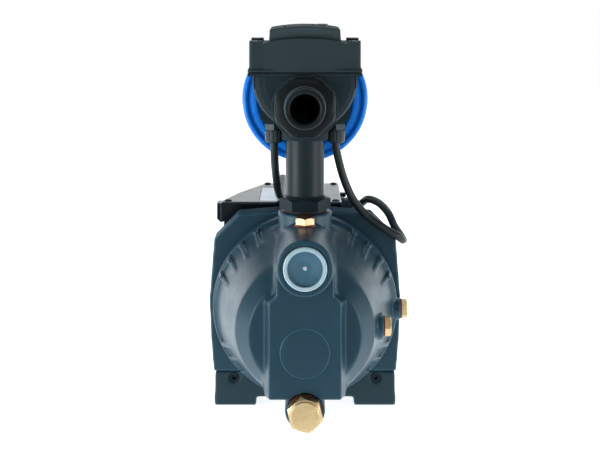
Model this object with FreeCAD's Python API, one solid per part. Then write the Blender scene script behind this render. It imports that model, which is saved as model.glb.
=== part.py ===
import FreeCAD, Part
import math
import os

# Shallow well jet pump with an electronic pressure controller on a riser pipe.
# Millimetres.  +Z is up, -Y is the suction side (front), +X is the pump's right hand seen
# from the front.  The origin is on the floor at the middle of the four foot bolt holes.
# Suffixes: _X, _Y, _Z are places, _R radii, _T thicknesses.
Vector = FreeCAD.Vector

# ---------------------------------------------------------------- driving sizes
AXIS_Z = 89.0              # motor and impeller axis
SUCTION_Y = -170.0         # face of the suction boss
SUCTION_Z = 147.0          # axis of the suction port
PAD_Y = -155.0             # face of the ejector pad
DISC_Y = -144.0            # flat round front of the casing
BAND_Y = -129.0            # where the steep band around the disc meets the cone
CAVITY_Y = -127.0          # front of the water space behind the ports
RIM_Y = -61.0              # front of the casing rim
JOINT_Y = -47.0            # joint between casing and motor bracket
RISER_Y = -80.0            # axis of the discharge port and riser pipe
PORT_Z = 174.2             # face of the discharge port

BOSS_R = 22.0              # suction boss
THREAD_MINOR_R = 15.15     # G1 internal thread
THREAD_MAJOR_R = 16.625    # G1 external thread
DISC_R, BAND_R = 44.4, 55.8    # front disc, outer edge of the band
NECK_R, RIM_R = 73.5, 78.5     # cone where it runs into the rim, rim
WALL = 5.0                 # casing wall

PAD_LOW_X, PAD_HIGH_X = 28.0, 22.3             # pad half widths below and above the shoulder
SHOULDER_LOW_Z, SHOULDER_HIGH_Z = 116.0, 122.0
PAD_BOTTOM_Z = 42.0
PAD_DRAFT = 4.2            # growth of the pad sides over its height

PRIME_Y, PRIME_Z = -112.0, 168.0    # priming plug, floor of its pocket
DRAIN_Z = 32.0
GAUGE_Y, GAUGE_Z = -112.0, 87.0     # gauge port on the right flank
VENT_Y, VENT_Z = -56.5, 86.0        # vent port on the right of the rim

FOOT_X, FOOT_Y = 60.0, 25.0         # foot bolt holes at plus and minus these
FOOT_HOLE_R = 4.5
FOOT_T = 9.0
FOOT_SCREW_X, FOOT_SCREW_Z = 61.0, 24.0    # screws between foot and bracket

DRUM_Y0, DRUM_Y1 = -37.0, -8.0      # drum of the motor bracket
STATOR_Y0, STATOR_Y1 = -8.0, 122.0  # stator housing
CORE_R, FIN_R, BORE_R = 53.0, 58.0, 49.0
STACK_Y0, STACK_Y1 = 30.0, 95.0     # stator and rotor laminations
COVER_END_Y = 195.0                 # rear face of the fan cover
COVER_SCREW_Y = 125.0

BOX_Z0, BOX_Z1 = 150.5, 168.0       # skirt and top of the terminal box lid

OUTLET_Z = 264.0           # axis of the controller outlet
NIPPLE_Y = -127.0          # face of the outlet nipple
PART_Z = 289.5             # parting plane of the controller
LID_Z = 317.0              # top of the controller lid
CONSOLE_Z = 329.2          # crest of the control console
DOME_Y, DOME_R = -50.0, 54.0        # front and radius of the diaphragm cover

CABLE_R = 3.5
CABLE_HOLE_R = CABLE_R + 0.02

# ---------------------------------------------------------------- helpers
pieces = []


def piece(build):
    """Register a builder; its name is the name of the file it fills."""
    pieces.append(build)
    return build


def solid_of(shape):
    """One clean solid with outward normals."""
    if shape.ShapeType != "Solid" and len(shape.Solids) == 1:
        shape = shape.Solids[0]
    if shape.Volume < 0:
        shape.reverse()
    return shape


def join(first, *others):
    fused = first.multiFuse(list(others)) if others else first
    return solid_of(fused.removeSplitter())


def cut(shape, *tools):
    return solid_of(shape.cut(list(tools)) if len(tools) > 1 else shape.cut(tools[0]))


def common(shape, zone):
    return solid_of(shape.common(zone))


def rod_x(radius, x0, x1, y, z):
    return Part.makeCylinder(radius, x1 - x0, Vector(x0, y, z), Vector(1, 0, 0))


def rod_y(radius, y0, y1, x=0.0, z=AXIS_Z):
    return Part.makeCylinder(radius, y1 - y0, Vector(x, y0, z), Vector(0, 1, 0))


def rod_z(radius, z0, z1, x=0.0, y=0.0):
    return Part.makeCylinder(radius, z1 - z0, Vector(x, y, z0), Vector(0, 0, 1))


def tube_x(inner, outer, x0, x1, y, z):
    return cut(rod_x(outer, x0, x1, y, z), rod_x(inner, x0 - 1, x1 + 1, y, z))


def tube_y(inner, outer, y0, y1, x=0.0, z=AXIS_Z):
    return cut(rod_y(outer, y0, y1, x, z), rod_y(inner, y0 - 1, y1 + 1, x, z))


def tube_z(inner, outer, z0, z1, x, y):
    return cut(rod_z(outer, z0, z1, x, y), rod_z(inner, z0 - 1, z1 + 1, x, y))


def box(x0, x1, y0, y1, z0, z1):
    return Part.makeBox(x1 - x0, y1 - y0, z1 - z0, Vector(x0, y0, z0))


def closed(points):
    return Part.makePolygon(points + [points[0]])


def turned(points, axis, place):
    shape = solid_of(Part.Face(closed(points)).revolve(Vector(0, 0, 0), axis, 360))
    shape.translate(place)
    return shape


def turn_x(profile, y, z):
    """Turned solid about an axis along X.  profile: (x, radius) corners."""
    return turned([Vector(x, 0, r) for x, r in profile], Vector(1, 0, 0), Vector(0, y, z))


def turn_y(profile, x=0.0, z=AXIS_Z):
    """Turned solid about an axis along Y.  profile: (y, radius) corners."""
    return turned([Vector(0, y, r) for y, r in profile], Vector(0, 1, 0), Vector(x, 0, z))


def turn_z(profile, x=0.0, y=0.0):
    """Turned solid about an axis along Z.  profile: (z, radius) corners."""
    return turned([Vector(r, 0, z) for z, r in profile], Vector(0, 0, 1), Vector(x, y, 0))


def prism_x(points, x0, x1):
    """points: (y, z) corners."""
    face = Part.Face(closed([Vector(x0, y, z) for y, z in points]))
    return solid_of(face.extrude(Vector(x1 - x0, 0, 0)))


def prism_y(points, y0, y1):
    """points: (x, z) corners."""
    face = Part.Face(closed([Vector(x, y0, z) for x, z in points]))
    return solid_of(face.extrude(Vector(0, y1 - y0, 0)))


def prism_z(points, z0, z1):
    """points: (x, y) corners."""
    face = Part.Face(closed([Vector(x, y, z0) for x, y in points]))
    return solid_of(face.extrude(Vector(0, 0, z1 - z0)))


def loft(*sections):
    wires = [closed([Vector(*point) for point in section]) for section in sections]
    return solid_of(Part.makeLoft(wires, True, True))


def polygon(count, across, rotation=0.0):
    """Corners of a regular polygon with the given width across flats."""
    radius = across / 2.0 / math.cos(math.pi / count)
    angles = [rotation + 2 * math.pi * i / count for i in range(count)]
    return [(radius * math.cos(angle), radius * math.sin(angle)) for angle in angles]


def hexagon(prism, turn, across, start, end, centre, rotation, chamfer, at_start=False):
    """Hexagonal bar, chamfered at one end by a turned envelope."""
    points = polygon(6, across, rotation)
    bar = prism([(centre[0] + a, centre[1] + b) for a, b in points], start, end)
    if not chamfer:
        return bar
    envelope_r = across / 2.0 / math.cos(math.pi / 6) + 0.05
    plain, tip, slope = (end, start, chamfer) if at_start else (start, end, -chamfer)
    profile = [(plain, 0), (plain, envelope_r), (tip + slope, envelope_r),
               (tip, across / 2.0 - 0.4), (tip, 0)]
    return common(bar, turn(profile[::-1] if at_start else profile, *centre))


def hex_x(across, x0, x1, y, z, rotation=0.0, chamfer=0.0):
    return hexagon(prism_x, turn_x, across, x0, x1, (y, z), rotation, chamfer)


def hex_y(across, y0, y1, x, z, rotation=0.0, chamfer=0.0):
    return hexagon(prism_y, turn_y, across, y0, y1, (x, z), rotation, chamfer, True)


def hex_z(across, z0, z1, x, y, rotation=0.0, chamfer=0.0):
    return hexagon(prism_z, turn_z, across, z0, z1, (x, y), rotation, chamfer)


def fillet(shape, radius, pick):
    """Round the edges that pick(edge) chooses."""
    edges = [edge for edge in shape.Edges if pick(edge)]
    if not edges:
        return shape
    # guards against a fillet that fails or breaks the solid: the sharp edges then stay
    try:
        rounded = shape.makeFillet(radius, edges)
        one = rounded.isValid() and len(rounded.Solids) == 1
        if one and 0.5 < rounded.Volume / shape.Volume < 1.5:
            return solid_of(rounded)
    except Exception:
        pass
    return shape


def swing(shape, *angles):
    """Copies of a shape drawn above the origin, turned from +Z towards +X by each angle
    and lifted onto the motor axis."""
    copies = []
    for angle in angles:
        moved = shape.copy()
        moved.rotate(Vector(0, 0, 0), Vector(0, 1, 0), angle)
        moved.translate(Vector(0, 0, AXIS_Z))
        copies.append(moved)
    return copies


def even(count):
    return [360.0 / count * i for i in range(count)]


QUARTERS = even(4)


def on_circle(radius, angle):
    """(x, z) around the motor axis, angle in degrees from +X towards +Z."""
    angle = math.radians(angle)
    return radius * math.cos(angle), AXIS_Z + radius * math.sin(angle)


def cable(points):
    """Round cable as straight runs with ball corners."""
    points = [Vector(*point) for point in points]
    parts = []
    for i in range(len(points) - 1):
        run = points[i + 1].sub(points[i])
        parts.append(Part.makeCylinder(CABLE_R, run.Length, points[i], run))
        if i:
            parts.append(Part.makeSphere(CABLE_R, points[i]))
    return join(*parts)


def coil(mean_r, wire_r, length, turns):
    """Round wire spring rising from the origin."""
    helix = Part.makeHelix(length / turns, length, mean_r)
    wire = Part.Wire([Part.makeCircle(wire_r, Vector(mean_r, 0, 0), Vector(0, 1, 0))])
    return solid_of(Part.Wire(helix.Edges).makePipeShell([wire], True, True))


def coil_y(mean_r, wire_r, y0, y1, turns, z=AXIS_Z):
    spring = coil(mean_r, wire_r, y1 - y0, turns)
    spring.rotate(Vector(0, 0, 0), Vector(1, 0, 0), -90)
    spring.translate(Vector(0, y0, z))
    return spring


# ================================================================ pump casing
BOLT_ANGLES = [20.0, 60.0, 120.0, 160.0, 215.0, 255.0, 285.0, 325.0]
BOLTS = [on_circle(73.4, angle) for angle in BOLT_ANGLES]
# gussets by angle above the horizontal; those above it carry a pip
GUSSET_ANGLES = (20.7, 32.3, 44.5, 57.0, -23.5, -34.0, -46.0)


def pad_section(y, grow):
    """Outline of the ejector pad at y, its sides and bottom moved out by the draft."""
    outline = [(-PAD_LOW_X, PAD_BOTTOM_Z), (PAD_LOW_X, PAD_BOTTOM_Z),
               (PAD_LOW_X, SHOULDER_LOW_Z), (PAD_HIGH_X, SHOULDER_HIGH_Z),
               (PAD_HIGH_X, SUCTION_Z), (-PAD_HIGH_X, SUCTION_Z),
               (-PAD_HIGH_X, SHOULDER_HIGH_Z), (-PAD_LOW_X, SHOULDER_LOW_Z)]
    section = []
    for x, z in outline:
        spread = 0.0
        if abs(x) == PAD_LOW_X:
            spread = grow
        elif z == SHOULDER_HIGH_Z:
            spread = grow * 0.3
        if z == SUCTION_Z:
            spread -= 0.35
        drop = grow * 0.8 if z == PAD_BOTTOM_Z else 0.0
        section.append((x + math.copysign(spread, x * spread), y, z - drop))
    return section


def gussets():
    """Tapering gussets along the cone towards the rim."""
    side_view = [(RIM_Y - 44.0, 60.0), (RIM_Y - 2.0, 69.0), (RIM_Y - 0.4, 72.0),
                 (RIM_Y - 0.4, 77.3), (RIM_Y - 5.0, 77.3)]
    top_view = [(-0.7, RIM_Y - 46.0), (0.7, RIM_Y - 46.0), (2.5, RIM_Y), (-2.5, RIM_Y)]
    plain = common(prism_x(side_view, -3.0, 3.0), prism_z(top_view, 50.0, 90.0))
    pipped = join(plain, rod_z(1.3, 70.0, 77.2, 0, RIM_Y - 8.5))
    found = []
    for side in (1, -1):
        for angle in GUSSET_ANGLES:
            found += swing(pipped if angle > 0 else plain, (90.0 - angle) * side)
    return found


def casing_outside():
    """Front disc, band, cone and rim with the pad, bosses and gussets."""
    body = turn_y([
        (DISC_Y, 0), (DISC_Y, DISC_R - 0.6), (DISC_Y + 0.35, DISC_R + 0.1), (BAND_Y, BAND_R),
        (RIM_Y - 5.0, NECK_R), (RIM_Y - 2.8, NECK_R + 0.9), (RIM_Y - 1.5, NECK_R + 2.2),
        (RIM_Y - 0.9, NECK_R + 3.6), (RIM_Y - 0.2, RIM_R - 0.5), (RIM_Y + 0.9, RIM_R),
        (JOINT_Y, RIM_R), (JOINT_Y, 0)])
    middle = pad_section(DISC_Y + 2.0, PAD_DRAFT)
    pad = join(loft(pad_section(PAD_Y, 0.0), middle),
               loft(middle, pad_section(CAVITY_Y + 4.0, PAD_DRAFT + 1.2)))
    suction = turn_y([(SUCTION_Y, 0), (SUCTION_Y, BOSS_R - 1.2), (SUCTION_Y + 1.2, BOSS_R),
                      (JOINT_Y - 3.0, BOSS_R), (JOINT_Y - 3.0, 0)], 0, SUCTION_Z)
    discharge = turn_z([(120.0, 0), (120.0, 22.5), (PORT_Z - 1.0, 22.5), (PORT_Z, 21.5),
                        (PORT_Z, 0)], 0, RISER_Y)
    drain = rod_y(15.7, -150.0, RISER_Y, 0, DRAIN_Z)
    gauge = rod_x(10.5, 40.0, 63.0, GAUGE_Y, GAUGE_Z)
    vent = rod_x(9.0, 55.0, 81.0, VENT_Y, VENT_Z)
    shell = join(body, pad, suction, discharge, drain, gauge, vent)
    return join(shell, *gussets())


def water_space():
    """Space behind the front wall, less the metal around the suction port."""
    slope = (NECK_R - BAND_R) / (RIM_Y - 5.0 - BAND_Y)

    def inside_cone(y):
        return (y, BAND_R + (y - BAND_Y) * slope - WALL)

    front_y = CAVITY_Y + WALL
    space = turn_y([(front_y, 0), (front_y, 40.0), inside_cone(front_y + 3.0),
                    inside_cone(-74.0), (-66.0, 66.5), (JOINT_Y + 1, 66.5), (JOINT_Y + 1, 0)])
    return cut(space, rod_y(21.0, CAVITY_Y, -99.0, 0, SUCTION_Z + 3.0))


@piece
def pump_casing():
    casing = cut(casing_outside(), water_space())
    # tube that carries the venturi, inside the water space
    casing = join(casing, rod_y(17.0, CAVITY_Y + 1.0, -108.0))
    cuts = [
        # suction port: mouth for the transit cap, thread, relief, passage
        rod_y(17.3, SUCTION_Y - 1.0, SUCTION_Y + 4.0, 0, SUCTION_Z),
        rod_y(THREAD_MINOR_R, SUCTION_Y + 3.0, SUCTION_Y + 20.0, 0, SUCTION_Z),
        rod_y(15.7, SUCTION_Y + 7.0, SUCTION_Y + 8.0, 0, SUCTION_Z),
        rod_y(12.5, SUCTION_Y + 19.0, -131.0, 0, SUCTION_Z),
        # down to the chamber around the nozzle
        box(-10.0, 10.0, -142.5, -132.0, 96.0, SUCTION_Z),
        rod_y(14.0, -142.5, -127.0),
        # nozzle seat, chamber in front of it and its pressure feed
        rod_y(6.0, -147.0, -142.0),
        rod_y(7.5, -151.0, -146.5),
        rod_z(3.6, 58.0, 86.0, 0, -147.4),
        rod_y(3.6, -147.4, -118.0, 0, 58.0),
        # venturi seat
        rod_y(12.55, -128.0, -107.0),
        # discharge port
        rod_z(THREAD_MINOR_R, 150.0, PORT_Z + 1.0, 0, RISER_Y),
        rod_z(17.9, PORT_Z - 0.6, PORT_Z + 1.0, 0, RISER_Y),
        # priming port in its pocket
        box(-13.0, 13.0, PRIME_Y - 11.0, PRIME_Y + 10.2, PRIME_Z, 180.0),
        rod_z(6.6, 140.0, 170.0, 0, PRIME_Y),
        # drain, gauge and vent ports
        rod_y(15.2, PAD_Y - 1.0, -150.0, 0, DRAIN_Z),
        rod_y(7.6, -151.0, -108.0, 0, DRAIN_Z),
        rod_x(5.1, 50.0, 66.0, GAUGE_Y, GAUGE_Z),
        rod_x(11.4, 63.0, 80.0, GAUGE_Y, GAUGE_Z),
        rod_x(4.6, 60.0, 83.0, VENT_Y, VENT_Z),
        # groove for the casing seal
        turn_y([(JOINT_Y - 2.2, 67.3), (JOINT_Y - 2.2, 69.3), (JOINT_Y + 1, 69.3),
                (JOINT_Y + 1, 67.3)]),
    ]
    cuts += [rod_y(2.56, -60.5, JOINT_Y + 1, x, z) for x, z in BOLTS]
    casing = cut(casing, *cuts)
    # chamfer at the suction mouth
    casing = cut(casing, turn_y([(SUCTION_Y - 0.5, 0), (SUCTION_Y - 0.5, 18.6),
                                 (SUCTION_Y + 0.8, 17.3), (SUCTION_Y + 0.8, 0)], 0, SUCTION_Z))
    # shallow groove that rings the plain medallion on the pad
    return cut(casing, turn_y([(PAD_Y - 1, 19.1), (PAD_Y + 0.5, 19.1), (PAD_Y + 0.5, 19.7),
                               (PAD_Y - 1, 19.7)], 0, 78.0))


# ---------------------------------------------------------------- plugs
@piece
def suction_transit_cap():
    """Snap-in cap: rim and spigot, dished middle, centre pip."""
    rim = [(-1.2, 13.4), (-1.6, 14.2), (-1.6, 16.1), (-0.9, 16.9), (3.8, 16.9), (3.8, 15.0),
           (6.4, 14.95), (6.4, 13.4)]
    dish = [(3.4, 0), (2.6, 6.0), (1.2, 13.5), (2.6, 13.5), (4.0, 6.0), (4.8, 0)]
    rings = [turn_y([(SUCTION_Y + y, r) for y, r in profile], 0, SUCTION_Z)
             for profile in (rim, dish)]
    return join(*rings, rod_y(1.5, SUCTION_Y + 2.0, SUCTION_Y + 4.0, 0, SUCTION_Z))


@piece
def priming_plug():
    return join(hex_z(15.0, PRIME_Z + 1.6, PRIME_Z + 7.5, 0, PRIME_Y, math.pi / 2, 1.0),
                rod_z(6.5, PRIME_Z - 14.0, PRIME_Z + 2.0, 0, PRIME_Y))


@piece
def drain_plug():
    plug = join(hex_y(25.0, -162.0, -151.7, 0, DRAIN_Z, math.radians(90 + 13), 2.2),
                rod_y(7.5, -152.0, -131.0, 0, DRAIN_Z))
    return join(plug, turn_y([(-163.0, 0), (-163.0, 10.6), (-161.9, 11.5), (-161.0, 11.5),
                              (-161.0, 0)], 0, DRAIN_Z))


@piece
def gauge_plug():
    return join(hex_x(14.0, 64.4, 69.6, GAUGE_Y, GAUGE_Z, 0.0, 0.9),
                rod_x(5.0, 53.0, 65.0, GAUGE_Y, GAUGE_Z))


@piece
def vent_plug():
    return join(hex_x(14.0, 82.2, 87.0, VENT_Y, VENT_Z, math.pi / 6, 0.9),
                rod_x(4.5, 73.0, 83.0, VENT_Y, VENT_Z))


@piece
def plug_washers():
    return [tube_z(6.9, 8.6, PRIME_Z, PRIME_Z + 1.6, 0, PRIME_Y),
            tube_y(8.2, 13.4, -151.7, -150.0, 0, DRAIN_Z),
            tube_x(5.6, 8.0, 63.0, 64.4, GAUGE_Y, GAUGE_Z),
            tube_x(5.1, 8.2, 81.0, 82.2, VENT_Y, VENT_Z)]


# ---------------------------------------------------------------- ejector and impeller
IMPELLER_Y0, IMPELLER_Y1 = -64.0, -50.0    # eye, rear of the back plate


@piece
def ejector_nozzle():
    return turn_y([(-146.4, 3.2), (-146.4, 5.9), (-142.5, 5.9), (-142.5, 8.6), (-140.6, 8.6),
                   (-140.6, 6.0), (-131.0, 4.2), (-131.0, 2.8)])


@piece
def ejector_venturi():
    return turn_y([(-126.8, 7.5), (-126.8, 12.5), (-107.5, 12.5), (-107.5, 14.6),
                   (-105.6, 14.6), (-105.6, 10.4), (-84.0, 10.4), (-84.0, 9.0),
                   (-112.0, 4.6), (-118.0, 4.6)])


@piece
def diffuser():
    """Ring with guide vanes around the impeller, and a sleeve for the venturi."""
    ring = turn_y([(-70.0, 12.0), (-70.0, 63.0), (-49.0, 63.0), (-49.0, 61.0), (-67.5, 61.0),
                   (-67.5, 12.0)])
    sleeve = turn_y([(-92.0, 10.6), (-92.0, 13.6), (-68.0, 13.6), (-68.0, 10.6)])
    body = join(ring, sleeve)
    vane = box(-1.0, 1.0, -67.8, -52.0, 53.4, 62.0)
    vane.rotate(Vector(0, 0, 57), Vector(0, 1, 0), 48)
    zone = tube_y(52.6, 62.0, -68.0, -51.0)
    return join(body, *[common(one, zone) for one in swing(vane, *even(7))])


def impeller_blade(first_angle):
    """Spiral blade through six stations, thickened to both sides."""
    half_t = 0.9
    stations = [on_circle(14.0 + j * 7.0, first_angle + j * 13.0) for j in range(6)]
    left, right = [], []
    for j, (x, z) in enumerate(stations):
        before = stations[max(j - 1, 0)]
        after = stations[min(j + 1, 5)]
        run_x, run_z = after[0] - before[0], after[1] - before[1]
        length = math.hypot(run_x, run_z)
        off_x, off_z = -run_z / length * half_t, run_x / length * half_t
        left.append((x + off_x, z + off_z))
        right.append((x - off_x, z - off_z))
    return prism_y(left + right[::-1], -61.5, IMPELLER_Y1 - 2.0)


@piece
def impeller():
    back = IMPELLER_Y1
    front = IMPELLER_Y0
    plate_and_hub = turn_y([(back - 2.4, 6.5), (back - 2.4, 51.0), (back, 51.0), (back, 12.0),
                            (back + 2.0, 11.0), (back + 2.0, 6.5)])
    front_hub = turn_y([(front, 6.5), (front, 10.0), (back - 2.0, 12.5), (back - 2.0, 6.5)])
    shroud_and_eye = turn_y([(front, 16.4), (front, 19.4), (-60.6, 19.4), (-58.6, 51.0),
                             (-56.8, 51.0), (-58.9, 18.4), (-61.0, 16.4)])
    body = join(plate_and_hub, front_hub, shroud_and_eye)
    zone = turn_y([(-60.0, 13.5), (-58.0, 50.9), (back - 1.5, 50.9), (back - 1.5, 9.0),
                   (-60.0, 9.0)])
    return join(body, *[common(impeller_blade(angle), zone) for angle in even(6)])


@piece
def impeller_nut():
    return cut(hex_y(13.0, -71.5, IMPELLER_Y0, 0, AXIS_Z, 0.0, 1.0), rod_y(4.0, -73.0, -63.0))


@piece
def seal_seat():
    return turn_y([(-30.0, 8.2), (-30.0, 12.9), (-26.1, 12.9), (-26.1, 8.2)])


@piece
def seal_rotating_ring():
    return turn_y([(-34.6, 7.55), (-34.6, 14.0), (-32.0, 14.0), (-32.0, 11.4), (-30.04, 11.4),
                   (-30.04, 7.55)])


@piece
def seal_spring():
    return coil_y(11.5, 0.9, -46.7, -35.8, 4.0)


@piece
def casing_o_ring():
    return turn_y([(JOINT_Y - 2.15, 67.4), (JOINT_Y - 2.15, 69.2), (JOINT_Y - 0.02, 69.2),
                   (JOINT_Y - 0.02, 67.4)])


# ================================================================ bracket and foot
# (x, z) corners of the bracket plate
BRACKET_OUTLINE = [
    (-57.7, 164.0), (-20.0, 167.0), (20.0, 167.0), (57.7, 164.0), (78.4, 143.0), (82.3, 91.0),
    (81.0, 60.0), (78.6, 29.3), (-78.6, 29.3), (-81.0, 60.0), (-82.3, 91.0), (-78.4, 143.0)]
TIES = [on_circle(55.6, angle) for angle in (45, 135, 225, 315)]


@piece
def motor_bracket():
    plate = join(prism_y(BRACKET_OUTLINE, JOINT_Y, DRUM_Y0), rod_y(80.0, JOINT_Y, DRUM_Y0))
    inner = [(x * 0.945, AXIS_Z + (z - AXIS_Z) * 0.945) for x, z in BRACKET_OUTLINE]
    skirt = cut(prism_y(BRACKET_OUTLINE, DRUM_Y0, -22.0), prism_y(inner, DRUM_Y0 - 1, -20.0),
                box(-90, 90, -60, 0, 0, 40.0))
    drum = tube_y(47.0, 58.0, DRUM_Y0, DRUM_Y1)
    spigot = tube_y(45.0, 48.95, DRUM_Y1 - 1, DRUM_Y1 + 4)
    web = join(tube_y(10.0, 48.0, -17.0, -12.0), tube_y(14.0, 23.5, -17.0, -1.0))
    seal_tube = tube_y(9.0, 24.0, DRUM_Y0 - 1, -22.0)
    lugs = [box(side * 60 - 12, side * 60 + 12, DRUM_Y0, -29.0, 14.0, 60.0)
            for side in (-1, 1)]
    lugs += [rod_y(8.0, DRUM_Y0, -24.0, side * FOOT_SCREW_X, FOOT_SCREW_Z)
             for side in (-1, 1)]
    ribs = swing(box(-2.0, 2.0, DRUM_Y0, -24.0, 56.5, 76.0), 52, 0, -52, -90, 90)
    bracket = join(plate, skirt, drum, spigot, web, seal_tube, *lugs, *ribs)

    cuts = [rod_y(18.0, JOINT_Y - 1, -30.0), rod_y(13.0, -31.0, -26.0),
            rod_y(17.5, -12.0, 0.0), rod_y(9.0, -27.0, -10.0), box(-11, 11, -34, -20, 20, 46)]
    for x, z in BOLTS:
        cuts.append(rod_y(2.8, JOINT_Y - 1, DRUM_Y0 + 1, x, z))
        cuts.append(rod_y(5.6, DRUM_Y0, -20.0, x, z))
    for side in (-1, 1):
        cuts.append(rod_y(2.56, DRUM_Y0 - 1, -23.0, side * FOOT_SCREW_X, FOOT_SCREW_Z))
    cuts += [rod_y(2.05, -26.0, DRUM_Y1 + 1, x, z) for x, z in TIES]
    return cut(bracket, *cuts)


@piece
def casing_bolts():
    return [join(hex_y(8.0, DRUM_Y0 + 0.02, -32.5, x, z, math.radians(angle)),
                 rod_y(2.5, -58.0, DRUM_Y0 + 0.5, x, z))
            for (x, z), angle in zip(BOLTS, BOLT_ANGLES)]


@piece
def foot_base():
    front = [(-78.0, 0.0), (-42.0, 0.0), (-42.0, 7.0), (42.0, 7.0), (42.0, 0.0), (78.0, 0.0),
             (77.0, 29.0), (-77.0, 29.0)]
    wall = cut(prism_y(front, JOINT_Y, DRUM_Y0 - 0.05), rod_y(80.35, JOINT_Y - 1, DRUM_Y0 + 1))
    rail = [(42.0, JOINT_Y), (78.0, JOINT_Y), (78.0, 36.0), (74.0, 40.0), (46.0, 40.0),
            (42.0, 36.0)]
    rails = [prism_z([(side * x, y) for x, y in rail], 0.0, FOOT_T) for side in (-1, 1)]
    # (y, z) corners of the upright edges of each rail
    outer_edge = [(JOINT_Y, 0), (40.0, 0), (40.0, 12.0), (-10.0, 18.0), (-30.0, 27.0),
                  (JOINT_Y, 27.0)]
    inner_edge = [(-36.0, 0), (40.0, 0), (40.0, 12.0), (-24.0, 12.9)]
    edges = [prism_x(outline, *sorted((side * x0, side * x1)))
             for outline, x0, x1 in ((outer_edge, 74.0, 77.4), (inner_edge, 42.0, 45.0))
             for side in (-1, 1)]
    bar = box(-74.0, 74.0, DRUM_Y0 + 0.05, -28.0, 7.0, 12.6)
    foot = join(wall, bar, *rails, *edges)
    holes = [rod_z(FOOT_HOLE_R, -1, 30, side * FOOT_X, end * FOOT_Y)
             for side in (-1, 1) for end in (-1, 1)]
    for side in (-1, 1):
        x = side * FOOT_SCREW_X
        holes += [rod_y(4.4, JOINT_Y - 1, -42.0, x, FOOT_SCREW_Z),
                  rod_y(2.6, -43.0, DRUM_Y0 + 1, x, FOOT_SCREW_Z)]
    return cut(foot, *holes)


@piece
def foot_screws():
    screws = []
    for x in (-FOOT_SCREW_X, FOOT_SCREW_X):
        screw = join(rod_y(4.25, -46.6, -42.0, x, FOOT_SCREW_Z),
                     rod_y(2.5, -43.0, -24.0, x, FOOT_SCREW_Z))
        screws.append(cut(screw, hex_y(4.0, -47.0, -44.2, x, FOOT_SCREW_Z)))
    return screws


# ================================================================ motor
BEARING_YS = (-6.5, 119.5)      # bearing centres
BEARING_HALF_T = 5.5
BALL_ORBIT_R = 12.5


@piece
def motor_shaft():
    return turn_y([
        (-74.0, 0), (-74.0, 3.95), (IMPELLER_Y0, 3.95), (IMPELLER_Y0, 6.48),
        (IMPELLER_Y1 + 2.0, 6.48), (IMPELLER_Y1 + 2.0, 7.5), (10.0, 7.5), (10.0, 9.0),
        (108.0, 9.0), (108.0, 7.5), (130.0, 7.5), (130.0, 5.5), (182.0, 5.5), (182.0, 0)])


@piece
def stator_housing():
    fin = box(-0.9, 0.9, STATOR_Y0, STATOR_Y1, CORE_R - 1.5, FIN_R)
    # no fins where the tie rods pass
    angles = [angle for angle in even(48)
              if min(abs(angle - tie) for tie in (45, 135, 225, 315)) >= 6]
    housing = rod_y(CORE_R, STATOR_Y0, STATOR_Y1).multiFuse(swing(fin, *angles))
    housing = cut(housing, rod_y(BORE_R, STATOR_Y0 - 1, STATOR_Y1 + 1))
    return cut(housing, rod_z(7.0, 130.0, 160.0, 2.0, 62.0))


@piece
def stator_core():
    stack = tube_y(27.6, 48.95, STACK_Y0, STACK_Y1)
    slot = box(-2.0, 2.0, STACK_Y0 - 1, STACK_Y1 + 1, 27.0, 41.0)
    return cut(stack, *swing(slot, *even(24)))


@piece
def stator_windings():
    """End windings joined by a bar through every slot."""
    front = turn_y([(14.0, 32.0), (14.0, 42.0), (17.0, 45.0), (28.0, 45.0), (29.8, 43.0),
                    (29.8, 29.0), (18.0, 29.0)])
    rear = turn_y([(111.0, 32.0), (111.0, 42.0), (108.0, 45.0), (97.0, 45.0), (95.2, 43.0),
                   (95.2, 29.0), (107.0, 29.0)])
    bar = box(-1.7, 1.7, 22.0, 103.0, 29.7, 40.5)
    return join(front, rear, *swing(bar, *even(24)))


@piece
def rotor_core():
    return join(tube_y(9.0, 27.0, STACK_Y0, STACK_Y1),
                tube_y(14.0, 25.0, STACK_Y0 - 5, STACK_Y1 + 5))


def race(y, inner, outer):
    """Bearing ring with its ball track."""
    track = Part.makeTorus(BALL_ORBIT_R, 3.03, Vector(0, y, AXIS_Z), Vector(0, 1, 0))
    return cut(tube_y(inner, outer, y - BEARING_HALF_T, y + BEARING_HALF_T), track)


def ball_ring(y, radius):
    places = [on_circle(BALL_ORBIT_R, angle) for angle in even(8)]
    return [Part.makeSphere(radius, Vector(x, y, z)) for x, z in places]


@piece
def bearing_outer_rings():
    return [race(y, 14.2, 17.48) for y in BEARING_YS]


@piece
def bearing_inner_rings():
    return [race(y, 7.5, 10.8) for y in BEARING_YS]


@piece
def bearing_balls():
    """Balls of both bearings, then their cages."""
    balls = [ball for y in BEARING_YS for ball in ball_ring(y, 2.97)]
    cages = [cut(tube_y(11.7, 13.3, y + 1.1, y + 4.2), *ball_ring(y, 3.02))
             for y in BEARING_YS]
    return balls + cages


@piece
def rear_end_shield():
    shield = join(tube_y(45.5, 48.95, 118.0, 124.0),
                  cut(rod_y(59.0, STATOR_Y1, 128.0), rod_y(46.0, 121.0, 124.0)),
                  tube_y(12.0, 23.0, 114.0, 132.0))
    lugs = swing(box(-6, 6, STATOR_Y1, 128.0, 57.0, 60.2), *QUARTERS)
    shield = join(shield, *[common(lug, rod_y(60.3, 120, 130)) for lug in lugs])
    cuts = [rod_y(17.5, 113.0, 127.0), rod_y(8.6, 110.0, 133.0)]
    cuts += [rod_y(2.1, 120.0, 129.0, x, z) for x, z in TIES]
    cuts += swing(rod_z(1.55, 50.0, 62.0, 0, COVER_SCREW_Y), *QUARTERS)
    return cut(shield, *cuts)


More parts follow.
